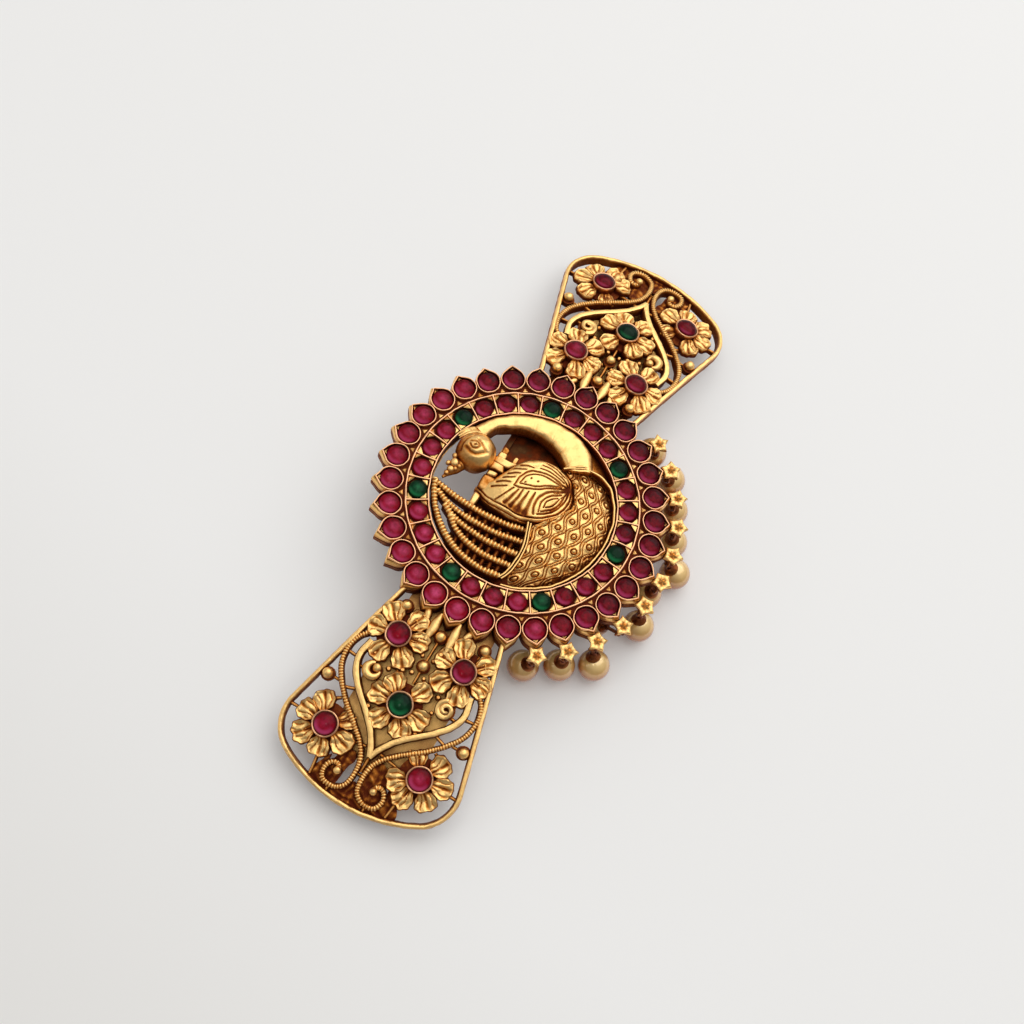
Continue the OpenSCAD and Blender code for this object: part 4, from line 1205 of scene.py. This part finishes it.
def tail(shape):
    """Beaded strands over dark bars that lie across the opening."""
    for points in TAIL:
        milled(shape, points, 1.1, 0.25, 0.56, on_face)
    for k in range(7):
        y = -1.9 + 1.25 * k
        left = -math.sqrt(12.6 ** 2 - y * y)
        wire(shape, [(left, y), (-5.6, y + 0.2)], bar(0.7, -0.45, -1.5, wear_and_shade=0.25), 1.0, lift=on_face)


def block(shape, wear_and_shade, top, outline):
    loop = (even_loop(np.array(outline), 60) + smooth_loop(outline, 60)) / 2

    def height(plan, out):
        return top - 0.35 * out ** 6 + 0.15 * (plan[:, 0] - loop[:, 0].mean())

    def relief(plan, out):
        return wear_and_shade * (0.9 + 0.25 * mottle(plan, 3, 2.3)) - 0.6 * out ** 8

    cushion(shape, loop, loop.mean(0), height, BIRD_FLOOR, relief, on_face, rings=12)


def peacock_shape():
    shape = Shape()
    for part in (breast, bird_wing, neck, head, tail):
        part(shape)
    for row in BLOCKS:
        block(shape, *row)
    return shape


# Stones and drops
def stone(shape, place, r, shade):
    """A cabochon standing on its seat: relief holds the share of the way out."""
    # shade, the stone's painted light with its own tint, goes into the tint attribute
    rows = [(r * 0.9, 0.0, 1.0, shade), (r * 0.99, 0.06, 1.0, shade)]
    rows += [(r * s, STONE_GIRDLE + STONE_DOME * (1 - s ** 2.3) ** 0.62, s, shade)
             for s in (1, 0.995, 0.97, 0.92, 0.84, 0.74, 0.6, 0.42, 0.22, 0.08)]
    lathe(shape, place, rows, STONE_SIDES)


def shade_at(x, y):
    """Stones towards -X and +Y catch the light more, and each has its own tint."""
    lean = 0.38 - 0.016 * x + 0.012 * y
    return min(max(lean + random.uniform(-0.22, 0.22), 0.0), 0.98)


def polar(r, angle):
    return r * math.cos(angle), r * math.sin(angle)


def ring_stones(r, count, size, wanted):
    """Those stones of a ring whose numbers are wanted."""
    shape = Shape()
    for k in filter(wanted, range(count)):
        x, y = polar(r, 2 * math.pi * k / count)
        stone(shape, placed((x, y, FACE - SEAT_DEPTH)), size, shade_at(x, y))
    return shape


def stones():
    outer = ring_stones(OUTER_R, OUTER_COUNT, OUTER_STONE_R, lambda k: True)
    outer.piece("outer_cabochons", RUBY, "ruby", ["outer_rubies"])
    inner = ring_stones(CELL_R, CELL_COUNT, CELL_STONE_R, lambda k: k % EMERALD_EVERY != 1)
    inner.piece("channel_cabochons", RUBY, "ruby", ["channel_rubies"])
    for n in range(CELL_COUNT // EMERALD_EVERY):
        one = ring_stones(CELL_R, CELL_COUNT, CELL_STONE_R, lambda k: k == 1 + n * EMERALD_EVERY)
        one.piece(f"channel_green_{n + 1}", EMERALD, "emerald", [f"channel_emerald_{n + 1}"])
    for hand, sign in (("right", 1), ("left", -1)):
        red = 0
        for n, (x, y, _) in enumerate(FLOWERS):
            place = np.diag([sign, sign, 1.0, 1.0]) @ standing(x, y, height=0.35)
            shape = Shape()
            stone(shape, place, FLOWER_STONE_R, shade_at(sign * x / 4, sign * y))
            if n == GREEN_FLOWER:
                shape.piece(f"flower_green_{hand}", EMERALD, "emerald", [f"wing_emerald_{hand}"])
            else:
                red += 1
                shape.piece(f"flower_red_{hand}_{red}", RUBY, "ruby", [f"wing_ruby_{hand}_{red}"])


def eye_ring(shape, middle, angle):
    """A small upright ring of wire, with its axis level and at an angle to +X."""
    place = placed(middle, (*polar(1, angle), 0.001))
    line = moved(np.column_stack([arc((0, 0), EYE_R, 0, 345, 24), np.zeros(24)]), place)
    sweep(shape, line, place[:3, 2], round_profile(EYE_WIRE_R, 8, 0.6), closed=True)


def drops():
    """Pearls, each on a dark pin with a cup, hung from two rings under its star cap."""
    skin = pearl_skin()
    pins = Shape()
    for n in range(1, STAR_COUNT + 1):
        low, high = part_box(f"pearl_{n}")
        middle = np.array((low + high) / 2) / MM
        angle = math.radians(-90 + (n - (STAR_COUNT + 1) // 2) * 360 / OUTER_COUNT)
        upper = np.array([*polar(STAR_R, angle), FACE - STAR_DEPTH - EYE_R])
        lower, start = upper - [0, 0, EYE_R], upper - [0, 0, 2 * EYE_R]
        eye_ring(pins, upper, angle + math.pi / 2)
        eye_ring(pins, lower, angle)
        reach = np.linalg.norm(middle - start)
        place = placed(middle, start - middle)
        lathe(pins, place, [(PIN_R, -1.4, 0.2), (PIN_R, reach, 0.5)], 12)
        cup = [(1.1, 2.2, 0.5), (1.14, 2.3, 0.9), (1.0, 2.5, 0.7), (0.72, 2.75, 0.4), (0.5, 2.95, 0.6),
               (0.42, 3.2, 0.3), (0.26, 3.25, 0.1), (0.6, 2.4, 0)]
        lathe(pins, place, cup, ring=True)
        ball(pins, placed(start), 0.5, relief=0.7, sides=12)
        pearl = Shape()
        skin_rows = [(*polar(PEARL_R, a), 1) for a in np.linspace(0.25 - math.pi / 2, math.pi / 2 - 0.25, 24)]
        holes = [[(PEARL_HOLE_R - 0.1, end * 2.37, 0), (PEARL_HOLE_R, end * 2.395, 0)] for end in (-1, 1)]
        lathe(pearl, place, [*holes[0], *skin_rows, *reversed(holes[1])], 40)
        pearl.piece(f"pearl_drop_{n}", skin, "pearl", [f"pearl_{n}"])
    pins.piece("pins_and_cups", DARK, "dark_metal", ["pearl_pins"])


def castings():
    right = wing_shape()
    for name, node, shape, rough in (("cast_wing_right", "wing_right", right, 0.025),
                                     ("cast_wing_left", "wing_left", half_turned(right), 0.025),
                                     ("medallion_setting", "medallion", medallion_shape(), 0.03),
                                     ("peacock_relief", "peacock", peacock_shape(), 0.03)):
        shape.piece(name, GILT, "antique_gold", [node], rough)


def plain_nodes():
    """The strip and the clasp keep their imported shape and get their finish."""
    for node, material in (("clip_strip", strip_gold()), ("clasp", clasp_metal())):
        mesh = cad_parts[node].data
        mesh.materials.clear()
        mesh.materials.append(material)


# Floor, light and camera
def stage():
    floor = bpy.data.meshes.new("floor")
    corners = [(-1.2, -1.2, 0), (1.2, -1.2, 0), (1.2, 1.2, 0), (-1.2, 1.2, 0)]
    floor.from_pydata(corners, [], [(0, 1, 2, 3)])
    floor.materials.append(pale_floor())
    in_scene("floor", floor)


def softbox(name, direction, distance, size, power):
    """A square soft light that faces the clip."""
    light = bpy.data.lights.new(name, "AREA")
    light.size, light.energy = size, power
    place = Vector(direction).normalized() * distance
    turn = (-place).to_track_quat("-Z", "Y").to_matrix().to_4x4()
    in_scene(name, light).matrix_world = Matrix.Translation(place) @ turn


def lights():
    """A large soft light overhead towards +X, and a room that is darker on the side of the camera."""
    softbox("window", (0.42, -0.12, 0.88), 0.6, 0.74, 1.68)
    softbox("small_lamp", (-0.3, 0.05, 0.95), 0.7, 0.1, 0.12)
    softbox("left_fill", (-0.5, 0.8, 0.6), 0.9, 0.5, 0.45)
    softbox("right_fill", (0.85, -0.2, 0.5), 0.9, 0.5, 0.5)
    world = bpy.data.worlds.new("room")
    world.use_nodes = True
    tree = world.node_tree
    room = tree.nodes["Background"].inputs
    place = add_node(tree, "ShaderNodeTexCoord")
    lean = add_node(tree, "ShaderNodeVectorMath", {"operation": "DOT_PRODUCT"},
                    _0=place.outputs["Generated"], _1=(0.6, 0.1, 0.8))
    sky = add_node(tree, "ShaderNodeMapRange", Value=lean.outputs["Value"], From_Min=-0.1, From_Max=1.0,
                   To_Min=0.2, To_Max=0.88)
    tree.links.new(sky.outputs[0], room["Strength"])
    room["Color"].default_value = (0.9, 0.9, 0.9, 1)
    bpy.context.scene.world = world
    bpy.context.scene.view_settings.view_transform = "Standard"


def camera():
    """The photograph's place, direction and field of view."""
    place = Vector((-86.88, -11.6, 210.9)) * MM
    ahead, up = Vector((0.3876, 0.0561, -0.9201)).normalized(), Vector((0.7855, 0.5024, 0.3615))
    right = ahead.cross(up).normalized()
    turn = Matrix((right, right.cross(ahead), -ahead)).transposed().to_4x4()
    lens = bpy.data.cameras.new("camera")
    lens.sensor_width, lens.lens = 36.0, 51.63
    lens.clip_start, lens.clip_end = 0.01, 10.0
    view = in_scene("camera", lens)
    view.matrix_world = Matrix.Translation(place) @ turn
    bpy.context.scene.camera = view


camera()
castings()
stones()
drops()
plain_nodes()
stage()
lights()
